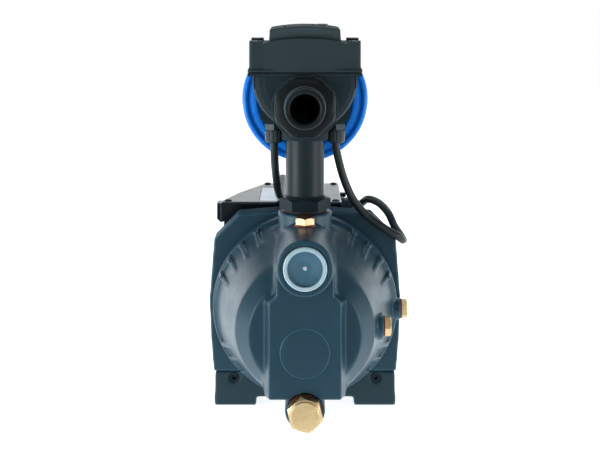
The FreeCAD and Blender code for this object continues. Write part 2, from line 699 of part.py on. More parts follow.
@piece
def cooling_fan():
    hub = turn_y([(155.0, 5.5), (155.0, 10.5), (157.0, 14.0), (157.0, 50.0), (159.0, 50.0),
                  (159.0, 14.0), (180.0, 10.5), (180.0, 5.5)])
    return join(hub, *swing(box(-1.0, 1.0, 158.0, 178.0, 9.0, 51.0), *even(8)))


@piece
def fan_cover():
    cover = turn_y([(112.0, 60.5), (112.0, 62.0), (189.0, 62.0), (193.0, 60.4),
                    (COVER_END_Y, 56.0), (COVER_END_Y, 0), (193.2, 0), (193.2, 55.4),
                    (191.8, 58.9), (188.5, 60.5)])
    cuts = []
    # radial slots in rings: mid radius, count, first angle
    for radius, count, first in ((16.0, 6, 0), (26.0, 10, 18), (36.0, 14, 0), (46.0, 18, 10)):
        slot = box(-1.0, 1.0, 190.0, COVER_END_Y + 1, radius - 4.0, radius + 4.0)
        cuts += swing(slot, *[angle + first for angle in even(count)])
    cuts += swing(rod_z(1.9, 55.0, 66.0, 0, COVER_SCREW_Y), *QUARTERS)
    return cut(cover, *cuts)


@piece
def fan_cover_screws():
    head = [(62.02, 0), (62.02, 3.6), (62.9, 3.4), (63.9, 2.2), (64.2, 0)]
    screw = join(rod_z(1.5, 52.0, 62.5, 0, COVER_SCREW_Y), turn_z(head, 0, COVER_SCREW_Y))
    return swing(screw, *QUARTERS)


@piece
def tie_rods():
    return [join(rod_y(1.95, -24.0, 130.0, x, z), rod_y(3.7, 128.02, 131.2, x, z))
            for x, z in TIES]


# ================================================================ terminal box
# (x, y) corners of the lid, counter-clockwise seen from above
BOX_PLAN = [(-75.0, -10.0), (33.0, -10.0), (33.0, 88.0), (-39.0, 88.0), (-62.0, 39.0),
            (-75.0, -1.0)]
BOX_SCREWS = [(27.4, -4.4), (27.4, 82.4), (-36.0, 82.4), (-68.6, -4.4)]
BOX_RIM_Z = 165.0                   # top edge of the base
BOX_GLAND_Y, BOX_GLAND_Z = 25.0, 158.0


def inset(outline, distance):
    """Counter-clockwise outline moved inwards: shift every side, meet them again."""
    lines = []
    for i, (x0, y0) in enumerate(outline):
        x1, y1 = outline[(i + 1) % len(outline)]
        run_x, run_y = x1 - x0, y1 - y0
        scale = distance / math.hypot(run_x, run_y)
        lines.append((x0 - run_y * scale, y0 + run_x * scale, run_x, run_y))
    corners = []
    for i, (next_x, next_y, next_run_x, next_run_y) in enumerate(lines):
        x, y, run_x, run_y = lines[i - 1]
        along = (((next_x - x) * next_run_y - (next_y - y) * next_run_x)
                 / (run_x * next_run_y - run_y * next_run_x))
        corners.append((x + run_x * along, y + run_y * along))
    return corners


@piece
def terminal_box_lid():
    lid = prism_z(BOX_PLAN, BOX_Z0, BOX_Z1)
    lid = fillet(lid, 2.2, lambda edge: abs(edge.CenterOfMass.z - BOX_Z1) < 0.01)
    inside = inset(BOX_PLAN, 2.2)
    lid = cut(lid, prism_z(inside, BOX_Z0 - 1, BOX_Z1 - 2.4))
    # rib on the left edge, ear on the right
    rib = cut(box(-78.6, -74.0, -7.5, 6.0, 149.5, 166.5), prism_z(inside, 140, BOX_Z1 - 2.4))
    rib = cut(rib, prism_y([(-79.0, 149.0), (-79.0, 153.0), (-75.0, 149.0)], -20, 20))
    lid = join(lid, rib, box(32.0, 38.0, 38.0, 45.0, 163.5, 167.2))
    # notch for the gland, recess for the rating plate, screw holes
    notch = cut(box(20.0, 40.0, BOX_GLAND_Y - 9.2, BOX_GLAND_Y + 9.2, 140.0, BOX_Z1 - 2.0),
                box(0, 30.6, -50, 90, 130, 170))
    cuts = [notch, box(-41.0, 1.0, -3.0, 63.0, BOX_Z1 - 0.7, BOX_Z1 + 1)]
    for x, y in BOX_SCREWS:
        cuts.append(rod_z(1.8, 160, 170, x, y))
        cuts.append(rod_z(3.5, BOX_Z1 - 1.0, 170, x, y))
    return cut(lid, *cuts)


@piece
def terminal_box_base():
    plan = inset(BOX_PLAN, 2.6)
    base = prism_z(plan, 128.0, BOX_RIM_Z)
    base = cut(base, prism_z(inset(plan, 2.6), 149.8, BOX_RIM_Z + 1))
    # deeper pocket on the left, beside the stator
    pocket = cut(box(-68.6, -38.0, -6.0, 70.0, 131.0, BOX_RIM_Z + 1),
                 rod_y(FIN_R + 3.2, -30, 140))
    base = cut(base, common(pocket, prism_z(inset(plan, 2.6), 120, 170)))
    base = join(base, *[rod_z(3.6, 148.0, BOX_RIM_Z, x, y) for x, y in BOX_SCREWS])
    base = common(base, prism_z(plan, 120.0, 170.0))
    return cut(base, rod_y(FIN_R + 0.25, -30, 140), rod_z(6.0, 130, 160, 2.0, 62.0),
               rod_x(5.6, 20.0, 40.0, BOX_GLAND_Y, BOX_GLAND_Z),
               *[rod_z(1.3, 152.0, 170.0, x, y) for x, y in BOX_SCREWS])


@piece
def terminal_box_screws():
    head = [(BOX_Z1 - 0.98, 0), (BOX_Z1 - 0.98, 3.2), (BOX_Z1 + 0.6, 3.0),
            (BOX_Z1 + 1.2, 2.0), (BOX_Z1 + 1.3, 0)]
    return [join(rod_z(1.25, 153.0, BOX_Z1 - 0.8, x, y), turn_z(head, x, y))
            for x, y in BOX_SCREWS]


@piece
def rating_plate():
    return box(-40.5, 0.5, -2.5, 62.5, BOX_Z1 - 0.68, BOX_Z1 - 0.1)


@piece
def run_capacitor():
    return join(rod_y(8.0, 0.0, 34.0, -46.5, 154.0),
                *[rod_y(1.5, 33.0, 38.0, x, 154.0) for x in (-49.0, -44.0)])


@piece
def terminal_block():
    return cut(box(-8.0, 24.0, 30.0, 46.0, 149.8, 160.5),
               *[rod_z(1.9, 154.0, 162.0, -4.0 + 8 * i, y)
                 for y in (34.0, 42.0) for i in range(4)])


@piece
def motor_cable_gland():
    place = (BOX_GLAND_Y, BOX_GLAND_Z)
    cap = [(38.0, 0), (38.0, 7.9), (43.6, 7.9), (45.6, 6.0), (45.6, 0)]
    gland = join(hex_x(15.0, 30.5, 35.5, *place), rod_x(5.5, 24.5, 31.0, *place),
                 rod_x(7.3, 35.0, 38.0, *place), turn_x(cap, *place))
    return cut(gland, rod_x(CABLE_HOLE_R, 20, 50, *place))


# ================================================================ riser pipe
@piece
def riser_pipe():
    across = 42.6 * math.cos(math.pi / 6)
    upper = [(184.0, 0), (184.0, 18.3), (186.6, 17.2), (188.0, 16.0), (234.4, 16.0),
             (234.4, 15.0), (246.6, 15.0), (246.6, 0)]
    riser = join(rod_z(15.05, 157.0, 177.5, 0, RISER_Y),
                 hex_z(across, PORT_Z + 2.2, 185.5, 0, RISER_Y, 0.0, 0.8),
                 turn_z(upper, 0, RISER_Y))
    return cut(riser, rod_z(12.2, 150.0, 250.0, 0, RISER_Y))


@piece
def riser_gasket():
    return tube_z(15.3, 17.8, PORT_Z - 0.58, PORT_Z + 2.18, 0, RISER_Y)


# ================================================================ pressure controller
GLAND_X, GLAND_Y = 26.0, -69.0      # cable glands at plus and minus x
LID_SCREWS = [(-41.0, -100.0), (41.0, -100.0), (-41.0, -57.2), (41.0, -57.2)]
LID_SKIRT_Z = PART_Z + 2.6          # underside of the lid, on its gasket
BUTTON_X, BUTTON_Y = 14.0, -72.0


@piece
def controller_body():
    """Round-bottomed bowl in front, block and necks around the riser, lid flange."""
    bowl = turn_y([(-62.0, 0), (-62.0, 43.0), (-96.0, 43.0), (-101.5, 41.2), (-104.6, 37.5),
                   (-106.0, 32.0), (-106.0, 0)], 0, 285.0)
    bowl = cut(bowl, box(-60, 60, -120, -40, PART_Z, 340))
    rear_neck = cut(rod_y(36.0, -60.2, -38.0, 0, OUTLET_Z),
                    box(-60, 60, -120, -50.2, PART_Z, 340))
    block = fillet(box(-37.5, 37.5, -82.0, -55.0, 246.0, PART_Z), 3.0,
                   lambda edge: abs(edge.CenterOfMass.z - 246.0) < 0.01
                   and abs(edge.CenterOfMass.x) < 1)
    block = cut(block, *[prism_y([(side * 38, 245), (side * 38, 252), (side * 31, 245)],
                                 -90, -50) for side in (-1, 1)])
    front_neck = turn_y([(-109.0, 0), (-109.0, 26.6), (-108.0, 27.5), (-80.0, 27.5),
                         (-80.0, 0)], 0, OUTLET_Z)
    front_neck = cut(front_neck, box(-40, 40, -120, -70, PART_Z, 340))
    socket = rod_z(19.5, 234.5, OUTLET_Z, 0, RISER_Y)
    flange = prism_z([(-46.7, -106.6), (-40.0, -107.6), (40.0, -107.6), (46.7, -106.6),
                      (46.7, -51.0), (-46.7, -51.0)], PART_Z - 1.2, PART_Z + 1.5)
    body = join(bowl, rear_neck, block, front_neck, socket, flange)
    cuts = [
        # inlet thread, valve chamber, valve seat
        rod_z(THREAD_MINOR_R, 233.0, 247.0, 0, RISER_Y),
        rod_z(12.5, 248.0, 262.0, 0, RISER_Y),
        rod_z(10.5, 245.0, 249.0, 0, RISER_Y),
        # passages to the outlet and to the diaphragm, seat of the nipple
        rod_y(11.9, -120.0, RISER_Y, 0, OUTLET_Z),
        rod_y(9.0, RISER_Y, -44.0, 0, OUTLET_Z),
        rod_y(30.0, -44.0, -37.0, 0, OUTLET_Z),
        rod_y(15.1, -111.0, -100.0, 0, OUTLET_Z),
        # recess open to the parting plane
        box(-34.0, 34.0, -100.0, -60.0, 281.5, 295.0),
    ]
    for side in (-1, 1):
        cuts.append(rod_z(5.1, 244.0, 256.0, side * GLAND_X, GLAND_Y))
        cuts.append(rod_z(3.2, 255.0, 283.0, side * 27.0, GLAND_Y))
    cuts += [rod_z(1.6, PART_Z - 12.0, PART_Z + 3, x, y) for x, y in LID_SCREWS]
    return cut(body, *cuts)


@piece
def outlet_nipple():
    """Octagonal wrench pad and threaded spigot."""
    large = [(x, z + OUTLET_Z) for x, z in polygon(8, 50.0, math.pi / 8)]
    small = [(x, z + OUTLET_Z) for x, z in polygon(8, 45.5, math.pi / 8)]
    pad = join(prism_y(large, -110.6, -109.02),
               loft([(x, -112.8, z) for x, z in small], [(x, -110.6, z) for x, z in large]))
    pad = common(pad, turn_y([(-114, 0), (-114, 25.0), (-109, 26.3), (-109, 0)], 0, OUTLET_Z))
    spigot = turn_y([(NIPPLE_Y, 0), (NIPPLE_Y, THREAD_MAJOR_R - 1.2),
                     (NIPPLE_Y + 1.2, THREAD_MAJOR_R), (-112.4, THREAD_MAJOR_R),
                     (-112.4, 0)], 0, OUTLET_Z)
    nipple = join(pad, spigot, rod_y(15.0, -110.0, -101.0, 0, OUTLET_Z))
    nipple = cut(nipple, rod_y(11.9, NIPPLE_Y - 1, -99.0, 0, OUTLET_Z))
    return cut(nipple, turn_y([(NIPPLE_Y - 0.5, 0), (NIPPLE_Y - 0.5, 13.9),
                               (NIPPLE_Y + 1.5, 11.9), (NIPPLE_Y + 1.5, 0)], 0, OUTLET_Z))


@piece
def controller_gasket():
    return cut(box(-46.2, 46.2, -106.0, -51.5, PART_Z + 1.5, LID_SKIRT_Z),
               box(-35.5, 35.5, -101.0, -58.5, 280, 300),
               *[rod_z(1.7, 280, 300, x, y) for x, y in LID_SCREWS])


@piece
def controller_lid():
    """Lid with corner screw columns and a bowed front."""
    steps = [-1.0 + i / 6.0 for i in range(13)]
    bow = [(step * 34.0, -106.0 - 3.2 * (1 - step * step)) for step in steps]
    outline = [(-45.5, -104.5), (-43.5, -106.0)] + bow
    outline += [(43.5, -106.0), (45.5, -104.5), (45.5, -52.5), (44.0, -51.0), (-44.0, -51.0),
                (-45.5, -52.5)]
    flange = [(-46.7, -106.8), (-40.0, -107.8), (40.0, -107.8), (46.7, -106.8),
              (46.7, -50.6), (-46.7, -50.6)]
    lid = join(prism_z(outline, LID_SKIRT_Z, LID_Z),
               prism_z(flange, LID_SKIRT_Z, LID_SKIRT_Z + 1.6))
    # the top falls a little at the sides, between the corner columns and the middle
    side_z = LID_Z - 2.4
    falls = []
    for side in (-1, 1):
        fall = [(35.2, 330.0), (35.2, side_z), (31.5, side_z), (28.6, LID_Z), (28.6, 330.0)]
        falls.append(prism_y([(side * x, z) for x, z in fall], -120, -40))
        falls.append(box(*sorted((side * 35.2, side * 50)), -93.5, -64.0, side_z, 330))
    lid = cut(lid, *falls)
    # crowned front edge ahead of the console: (x, height from the lid top)
    left = [(-35.2, -2.4), (-28.6, 0.2), (-19.0, 1.6), (-9.5, 2.35)]
    crown = [(35.2, -4.0), (-35.2, -4.0)] + left + [(0.0, 2.6)]
    crown += [(-x, z) for x, z in left[::-1]]
    crown = common(prism_y([(x, LID_Z + z) for x, z in crown], -110.0, -104.05),
                   prism_z(outline, LID_SKIRT_Z, LID_Z + 5.0))
    lid = join(lid, crown)
    inside = cut(box(-42.5, 42.5, -103.0, -54.0, LID_SKIRT_Z - 1, LID_Z - 4.8),
                 *[rod_z(4.8, LID_SKIRT_Z, LID_Z - 2.0, x, y) for x, y in LID_SCREWS])
    lid = join(cut(lid, inside))
    return cut(lid, box(-22.0, 22.0, -96.0, -64.0, LID_Z - 6.0, LID_Z + 1),
               *[rod_z(1.7, 285, 330, x, y) for x, y in LID_SCREWS],
               *[rod_z(3.6, LID_Z - 3.0, 330, x, y) for x, y in LID_SCREWS])


@piece
def controller_lid_screws():
    """Screws with cross slots."""
    head = [(LID_Z - 2.98, 0), (LID_Z - 2.98, 3.3), (LID_Z - 0.6, 3.3), (LID_Z + 0.3, 2.2),
            (LID_Z + 0.4, 0)]
    screws = []
    for x, y in LID_SCREWS:
        screw = join(rod_z(1.5, PART_Z - 9.0, LID_Z - 2.5, x, y), turn_z(head, x, y))
        slots = [box(x - half_x, x + half_x, y - half_y, y + half_y, LID_Z - 0.8, LID_Z + 2)
                 for half_x, half_y in ((2.4, 0.45), (0.45, 2.4))]
        screws.append(cut(screw, *slots))
    return screws


@piece
def control_panel():
    """Crowned console on the lid, open below, with holes for the button and three lamps."""
    steps = [1.0 - i / 6.0 for i in range(13)]
    outline = [(-29.4, LID_Z + 0.02), (29.4, LID_Z + 0.02), (28.9, CONSOLE_Z - 3.3)]
    outline += [(step * 27.6, CONSOLE_Z - 2.5 * step * step) for step in steps]
    outline.append((-28.9, CONSOLE_Z - 3.3))

    def on_end_above_lid(edge):
        centre = edge.CenterOfMass
        on_end = abs(centre.y + 104) < 0.01 or abs(centre.y + 56) < 0.01
        return abs(centre.z - LID_Z) > 3 and on_end

    panel = fillet(prism_y(outline, -104.0, -56.0), 1.6, on_end_above_lid)
    panel = cut(panel, box(-26.5, 26.5, -101.5, -58.5, LID_Z - 1, CONSOLE_Z - 6.5))
    return cut(panel, rod_z(5.6, LID_Z, CONSOLE_Z + 2, BUTTON_X, BUTTON_Y),
               rod_z(8.5, CONSOLE_Z - 2.4, CONSOLE_Z + 2, BUTTON_X, BUTTON_Y),
               *[rod_z(1.6, LID_Z, CONSOLE_Z + 2, -16.0 + 8 * i, -92.0) for i in range(3)])


@piece
def restart_button():
    # (height from the console crest, radius)
    key = [(-11.0, 0), (-11.0, 7.2), (-9.3, 7.2), (-9.3, 5.5), (-0.2, 5.5), (0.5, 4.6),
           (0.7, 0)]
    return join(rod_z(2.5, PART_Z + 18.2, CONSOLE_Z - 10.0, BUTTON_X, BUTTON_Y),
                turn_z([(CONSOLE_Z + z, r) for z, r in key], BUTTON_X, BUTTON_Y))


@piece
def controller_pcb():
    board = box(-34.0, 34.0, -99.0, -59.0, PART_Z + 8.5, PART_Z + 10.1)
    board = cut(board, *[rod_z(1.6, PART_Z, PART_Z + 20, x, y)
                         for x in (-31.0, 31.0) for y in (-96.0, -62.0)])
    foot_z = PART_Z + 10.0
    return join(board, box(-24, -8, -90, -74, foot_z, PART_Z + 17.0),
                box(-2, 12, -92, -80, foot_z, PART_Z + 16.5),
                rod_z(4.0, foot_z, PART_Z + 16.0, 24.0, -86.0),
                box(BUTTON_X - 3, BUTTON_X + 3, BUTTON_Y - 3, BUTTON_Y + 3, foot_z,
                    PART_Z + 16.0),
                box(-30, -22, -70, -63, foot_z, PART_Z + 15.0))


@piece
def flow_valve():
    """Disc and stem; it lifts against a light spring."""
    disc = [(248.05, 0), (248.05, 11.9), (250.2, 11.9), (251.0, 10.0), (251.0, 3.0),
            (259.0, 2.6), (259.0, 0)]
    stem = [(236.0, 0), (236.0, 2.2), (248.5, 2.2), (248.5, 0)]
    return join(turn_z(disc, 0, RISER_Y), turn_z(stem, 0, RISER_Y))


@piece
def valve_spring():
    spring = coil(6.4, 0.6, 261.1 - 251.7, 4.0)
    spring.translate(Vector(0, RISER_Y, 251.7))
    return spring


@piece
def diaphragm():
    return turn_y([(-37.98, 0), (-37.98, 46.5), (-36.4, 46.5), (-36.4, 0)], 0, OUTLET_Z)


@piece
def diaphragm_plate():
    return turn_y([(-36.35, 0), (-36.35, 22.0), (-34.4, 22.0), (-34.4, 9.0), (-30.0, 8.4),
                   (-30.0, 0)], 0, OUTLET_Z)


@piece
def pressure_spring():
    return coil_y(12.0, 1.1, -33.2, -15.6, 4.0, OUTLET_Z)


@piece
def diaphragm_cover():
    """Stepped front ring, round rim and domed back."""
    ring = [(3.4, 36.5), (3.4, 40.2), (1.6, 41.0), (1.0, 42.4), (1.0, 45.2), (2.4, 46.2),
            (2.4, 48.2), (0.8, 49.2), (0.0, 50.6), (0.0, 51.8), (0.7, 53.2), (2.2, DOME_R)]
    back = [(-38.0, DOME_R), (-36.6, 53.0), (-35.4, 50.6), (-31.0, 49.6), (-27.0, 46.0),
            (-24.5, 40.0), (-22.5, 30.0), (-14.5, 27.0), (-12.6, 24.0), (-12.0, 20.0),
            (-12.0, 0)]
    inside = [(-14.4, 0), (-14.4, 18.0), (-15.2, 21.0), (-17.0, 24.0), (-25.4, 28.0),
              (-27.4, 38.0), (-30.6, 43.4), (-33.6, 46.0), (-36.38, 46.2), (-36.38, 46.9),
              (-43.0, 46.9), (-43.0, 36.5)]
    return turn_y([(DOME_Y + y, r) for y, r in ring] + back + inside, 0, OUTLET_Z)


@piece
def controller_glands():
    cap = [(229.6, 0), (229.6, 6.2), (231.2, 7.6), (240.0, 7.9), (240.0, 0)]
    glands = []
    for place in ((-GLAND_X, GLAND_Y), (GLAND_X, GLAND_Y)):
        gland = join(hex_z(15.0, 241.0, 245.95, *place, math.pi / 6),
                     rod_z(5.05, 245.0, 254.5, *place), rod_z(6.9, 239.5, 241.5, *place),
                     turn_z(cap, *place))
        grips = []
        for angle in even(12):
            angle = math.radians(angle)
            grips.append(rod_z(0.7, 231.5, 241.0, place[0] + 8.0 * math.cos(angle),
                               place[1] + 8.0 * math.sin(angle)))
        glands.append(cut(cut(gland, *grips), rod_z(CABLE_HOLE_R, 228, 256, *place)))
    return glands


# ================================================================ cables
PLUG_Y, PLUG_Z = 234.0, 18.4        # axis of the mains plug


@piece
def motor_cable():
    return cable([
        (GLAND_X, GLAND_Y, 250.0), (GLAND_X, GLAND_Y, 227.0), (29.0, -67.5, 212.0),
        (34.4, -64.6, 194.0), (41.6, -61.5, 179.0), (52.0, -59.0, 166.4),
        (70.0, -56.5, 153.0), (80.0, -53.5, 146.6), (84.4, -46.0, 142.2),
        (84.0, -34.0, 142.6), (78.8, -23.0, 149.0), (74.0, -11.0, 158.6), (66.0, 3.0, 165.0),
        (57.0, 17.0, 165.4), (52.0, 25.0, 160.4), (48.5, BOX_GLAND_Y, BOX_GLAND_Z),
        (20.0, BOX_GLAND_Y, BOX_GLAND_Z)])


@piece
def mains_cable():
    return cable([
        (-GLAND_X, GLAND_Y, 250.0), (-GLAND_X, GLAND_Y, 227.0), (-25.4, -64.0, 210.0),
        (-24.2, -48.0, 192.0), (-23.0, -24.0, 179.0), (-22.0, -2.0, 172.2),
        (-22.0, 92.0, 172.2), (-22.0, 112.0, 162.6), (-22.0, 130.0, 156.0),
        (-22.0, 186.0, 156.0), (-22.0, 197.0, 149.0), (-21.0, 203.0, 132.0),
        (-21.0, 203.0, 42.0), (-26.0, 208.5, 24.0), (-36.0, 214.0, 18.6),
        (-45.0, 222.0, PLUG_Z), (-42.0, 232.0, PLUG_Z), (-32.0, PLUG_Y, PLUG_Z),
        (-10.0, PLUG_Y, PLUG_Z)])


@piece
def mains_plug():
    """Moulded two pin plug lying on the floor behind the motor."""
    body = turn_x([(-26.0, 0), (-26.0, 5.6), (-14.0, 6.8), (-12.0, 12.0), (-4.0, 17.4),
                   (14.0, 18.3), (22.0, 18.3), (22.0, 0)], PLUG_Y, PLUG_Z)
    pins = [rod_x(2.4, 20.0, 41.0, PLUG_Y, PLUG_Z + side * 9.5) for side in (-1, 1)]
    return cut(join(body, *pins), rod_x(CABLE_HOLE_R, -30.0, -9.9, PLUG_Y, PLUG_Z))


# ---------------------------------------------------------------- output
os.makedirs("parts", exist_ok=True)
for build in pieces:
    built = build()
    shapes = built if isinstance(built, list) else [built]
    solids = [solid_of(solid) for shape in shapes for solid in shape.Solids]
    result = solids[0] if len(solids) == 1 else Part.makeCompound(solids)
    result.exportStep("parts/%s.step" % build.__name__)
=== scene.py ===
import bpy, bmesh, math
import numpy as np
from mathutils import Vector, Matrix


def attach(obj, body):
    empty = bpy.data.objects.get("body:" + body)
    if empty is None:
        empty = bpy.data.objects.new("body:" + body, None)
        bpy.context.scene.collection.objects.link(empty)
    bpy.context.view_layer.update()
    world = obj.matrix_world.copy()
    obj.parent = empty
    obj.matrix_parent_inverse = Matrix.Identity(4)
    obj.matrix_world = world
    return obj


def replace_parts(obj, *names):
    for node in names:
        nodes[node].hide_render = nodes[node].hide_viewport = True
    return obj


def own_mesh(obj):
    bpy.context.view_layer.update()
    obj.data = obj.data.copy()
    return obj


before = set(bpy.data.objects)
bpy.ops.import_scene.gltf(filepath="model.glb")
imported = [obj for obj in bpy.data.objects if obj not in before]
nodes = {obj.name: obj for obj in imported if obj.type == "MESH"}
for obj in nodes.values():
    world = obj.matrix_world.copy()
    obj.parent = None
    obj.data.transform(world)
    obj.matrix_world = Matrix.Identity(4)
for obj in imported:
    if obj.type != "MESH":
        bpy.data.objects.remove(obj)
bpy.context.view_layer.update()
scene = bpy.context.scene


# ------------------------------------------------------------------ node graphs
class G:
    """Short names for building one material's node graph."""

    def __init__(self, name):
        m = bpy.data.materials.new(name)
        m.use_nodes = True
        self.m, self.t = m, m.node_tree
        self.t.nodes.clear()
        self.out = self.n("ShaderNodeOutputMaterial")
        self.b = self.n("ShaderNodeBsdfPrincipled")
        self.l(self.b.outputs[0], self.out.inputs[0])
        self.co = self.n("ShaderNodeTexCoord").outputs["Object"]

    def n(self, kind, **kw):
        x = self.t.nodes.new(kind)
        for k, v in kw.items():
            setattr(x, k, v)
        return x

    def l(self, a, b):
        self.t.links.new(a, b)
        return b

    def put(self, sock, v):
        if hasattr(v, "is_linked") or hasattr(v, "links"):
            self.l(v, sock)
        else:
            if hasattr(sock, "default_value"):
                try:
                    sock.default_value = v
                except Exception:
                    sock.default_value = (v[0], v[1], v[2], 1.0)

    def noise(self, scale, detail=3.0, rough=0.55, vec=None, dist=0.0):
        x = self.n("ShaderNodeTexNoise")
        self.l(vec or self.co, x.inputs["Vector"])
        x.inputs["Scale"].default_value = scale
        x.inputs["Detail"].default_value = detail
        x.inputs["Roughness"].default_value = rough
        x.inputs["Distortion"].default_value = dist
        return x.outputs["Fac"]

    def voro(self, scale, feature="F1", vec=None):
        x = self.n("ShaderNodeTexVoronoi", feature=feature)
        self.l(vec or self.co, x.inputs["Vector"])
        x.inputs["Scale"].default_value = scale
        return x.outputs["Distance"]

    def math(self, op, a, b=0.0, c=0.0, clamp=False):
        x = self.n("ShaderNodeMath", operation=op, use_clamp=clamp)
        for i, v in enumerate((a, b, c)):
            self.put(x.inputs[i], v)
        return x.outputs[0]

    def ramp(self, f, stops):
        x = self.n("ShaderNodeValToRGB")
        e = x.color_ramp.elements
        while len(e) < len(stops):
            e.new(0.5)
        for i, (p, c) in enumerate(stops):
            e[i].position = p
            e[i].color = (c[0], c[1], c[2], 1.0) if hasattr(c, "__len__") else (c, c, c, 1.0)
        self.l(f, x.inputs[0])
        return x.outputs[0]

    def mix(self, f, a, b, mode="MIX"):
        x = self.n("ShaderNodeMix", data_type="RGBA", blend_type=mode)
        self.put(x.inputs["Factor"], f)
        self.put(x.inputs["A"], tuple(a) + (1.0,) if isinstance(a, (tuple, list)) and len(a) == 3 else a)
        self.put(x.inputs["B"], tuple(b) + (1.0,) if isinstance(b, (tuple, list)) and len(b) == 3 else b)
        return [o for o in x.outputs if o.type == "RGBA"][0]

    def rng(self, f, a, b, c, d):
        x = self.n("ShaderNodeMapRange")
        self.l(f, x.inputs[0])
        for i, v in enumerate((a, b, c, d)):
            x.inputs[1 + i].default_value = v
        return x.outputs[0]

    def bump(self, h, dist, strength=1.0, normal=None):
        x = self.n("ShaderNodeBump")
        x.inputs["Strength"].default_value = strength
        x.inputs["Distance"].default_value = dist
        self.l(h, x.inputs["Height"])
        if normal is not None:
            self.l(normal, x.inputs["Normal"])
        return x.outputs[0]

    def bevel(self, r, samples=4):
        x = self.n("ShaderNodeBevel", samples=samples)
        x.inputs["Radius"].default_value = r
        return x.outputs[0]

    def edge(self, r, lo=0.02, hi=0.25):
        """0 on flats, 1 on sharp edges, from how far a rounded normal leans off the true one."""
        g = self.n("ShaderNodeNewGeometry").outputs["Normal"]
        d = self.n("ShaderNodeVectorMath", operation="DOT_PRODUCT")
        self.l(self.bevel(r), d.inputs[0])
        self.l(g, d.inputs[1])
        return self.rng(self.math("SUBTRACT", 1.0, d.outputs["Value"]), lo, hi, 0.0, 1.0)

    def vec(self, scale=(1, 1, 1)):
        x = self.n("ShaderNodeMapping")
        self.l(self.co, x.inputs["Vector"])
        x.inputs["Scale"].default_value = scale
        return x.outputs[0]

    def sep(self, v=None):
        x = self.n("ShaderNodeSeparateXYZ")
        self.l(v or self.co, x.inputs[0])
        return x.outputs

    def set(self, **kw):
        names = {"color": "Base Color", "rough": "Roughness", "metal": "Metallic", "normal": "Normal", "coat": "Coat Weight",
                 "coat_rough": "Coat Roughness", "ior": "IOR", "spec": "Specular IOR Level", "sss": "Subsurface Weight", "sss_scale": "Subsurface Scale",
                 "aniso": "Anisotropic", "trans": "Transmission Weight", "tint": "Specular Tint", "emit": "Emission Color", "emit_s": "Emission Strength", "sheen": "Sheen Weight"}
        for k, v in kw.items():
            self.put(self.b.inputs[names[k]], v)
        return self.m


def sc(c, k):
    return tuple(max(0.0, min(1.0, v * k)) for v in c)


def paint(name, col, rough=0.36, bevel=0.0009, light=3.4, peel=1.0, coat=0.25, dense=True, top=0.30):
    """Satin enamel over a sand casting: broad tone drift, fine orange peel, cast grain below it, painted highlights on
    edges and ridges, and painted shade in the low spots.
    """
    g = G(name)
    big = g.noise(9.0, 3.0, 0.5)
    mid = g.noise(70.0, 4.0, 0.6)
    fine = g.noise(900.0, 2.0, 0.5)
    c = g.mix(g.rng(big, 0.3, 0.7, 0.0, 1.0), sc(col, 0.88), sc(col, 1.12))
    c = g.mix(g.rng(mid, 0.55, 0.8, 0.0, 0.22), c, sc(col, 1.45))
    c = g.mix(g.rng(fine, 0.58, 0.8, 0.0, 0.25), c, sc(col, 1.6))
    pt = g.n("ShaderNodeNewGeometry").outputs["Pointiness"]
    e = g.edge(bevel * 1.6, 0.03, 0.35)
    if dense:
        e = g.math("MAXIMUM", e, g.rng(pt, 0.515, 0.575, 0.0, 1.0))
    # edges, and on dense meshes convex ridges too, are painted lighter: a painted highlight where light catches them
    c = g.mix(g.math("MULTIPLY", g.math("MULTIPLY", e, g.rng(mid, 0.3, 0.7, 0.45, 1.0)), 0.85), c, sc(col, light))
    # concave hollows are painted darker: painted shade in the low spots
    if dense:
        c = g.mix(g.rng(pt, 0.485, 0.43, 0.0, 0.5), c, sc(col, 0.55))
    n = g.bump(fine, 0.00010, 0.35 * peel, g.bevel(bevel))
    n = g.bump(g.noise(260.0, 3.0, 0.6), 0.00028, 0.35 * peel, n)
    r = g.math("ADD", g.rng(mid, 0.2, 0.8, rough - 0.06, rough + 0.08), g.rng(fine, 0.3, 0.8, -0.03, 0.05))
    spec = 0.30
    if top != 0.30:      # ledges that catch dust are duller than the faces
        up = g.sep(g.n("ShaderNodeNewGeometry").outputs["Normal"])[2]
        spec, coat = g.rng(up, 0.45, 0.9, 0.30, top), g.rng(up, 0.45, 0.9, coat, 0.0)
        r = g.math("ADD", r, g.rng(up, 0.45, 0.9, 0.0, 0.25))
    return g.set(color=c, rough=r, normal=n, coat=coat, coat_rough=0.3, spec=spec, tint=(0.70, 0.90, 1.0, 1.0))


def plastic(name, col, rough=0.48, bevel=0.0006, grain=1.0, light=1.6, scale=1800.0, spec=0.45, lo=0.03, hi=0.4):
    """Moulded plastic with spark-eroded grain, faint flow marks, painted highlights on the edges and a trace of dust.
    """
    g = G(name)
    if callable(spec):
        spec = spec(g)
    big = g.noise(14.0, 2.0, 0.5, dist=0.6)
    fine = g.noise(scale, 2.0, 0.6)
    c = g.mix(g.rng(big, 0.3, 0.7, 0.0, 1.0), sc(col, 0.9), sc(col, 1.12))
    c = g.mix(g.rng(fine, 0.6, 0.85, 0.0, 0.35), c, sc(col, 1.8))
    e = g.edge(bevel * 1.8, lo, hi)
    # edges are painted lighter: a painted highlight along them
    c = g.mix(g.math("MULTIPLY", e, 0.45), c, sc(col, light))
    n = g.bump(fine, 0.00006, 0.5 * grain, g.bevel(bevel))
    n = g.bump(big, 0.0004, 0.15, n)
    r = g.math("ADD", g.rng(big, 0.3, 0.7, rough - 0.05, rough + 0.05), g.rng(fine, 0.3, 0.8, -0.04, 0.06))
    return g.set(color=c, rough=r, normal=n, spec=spec)


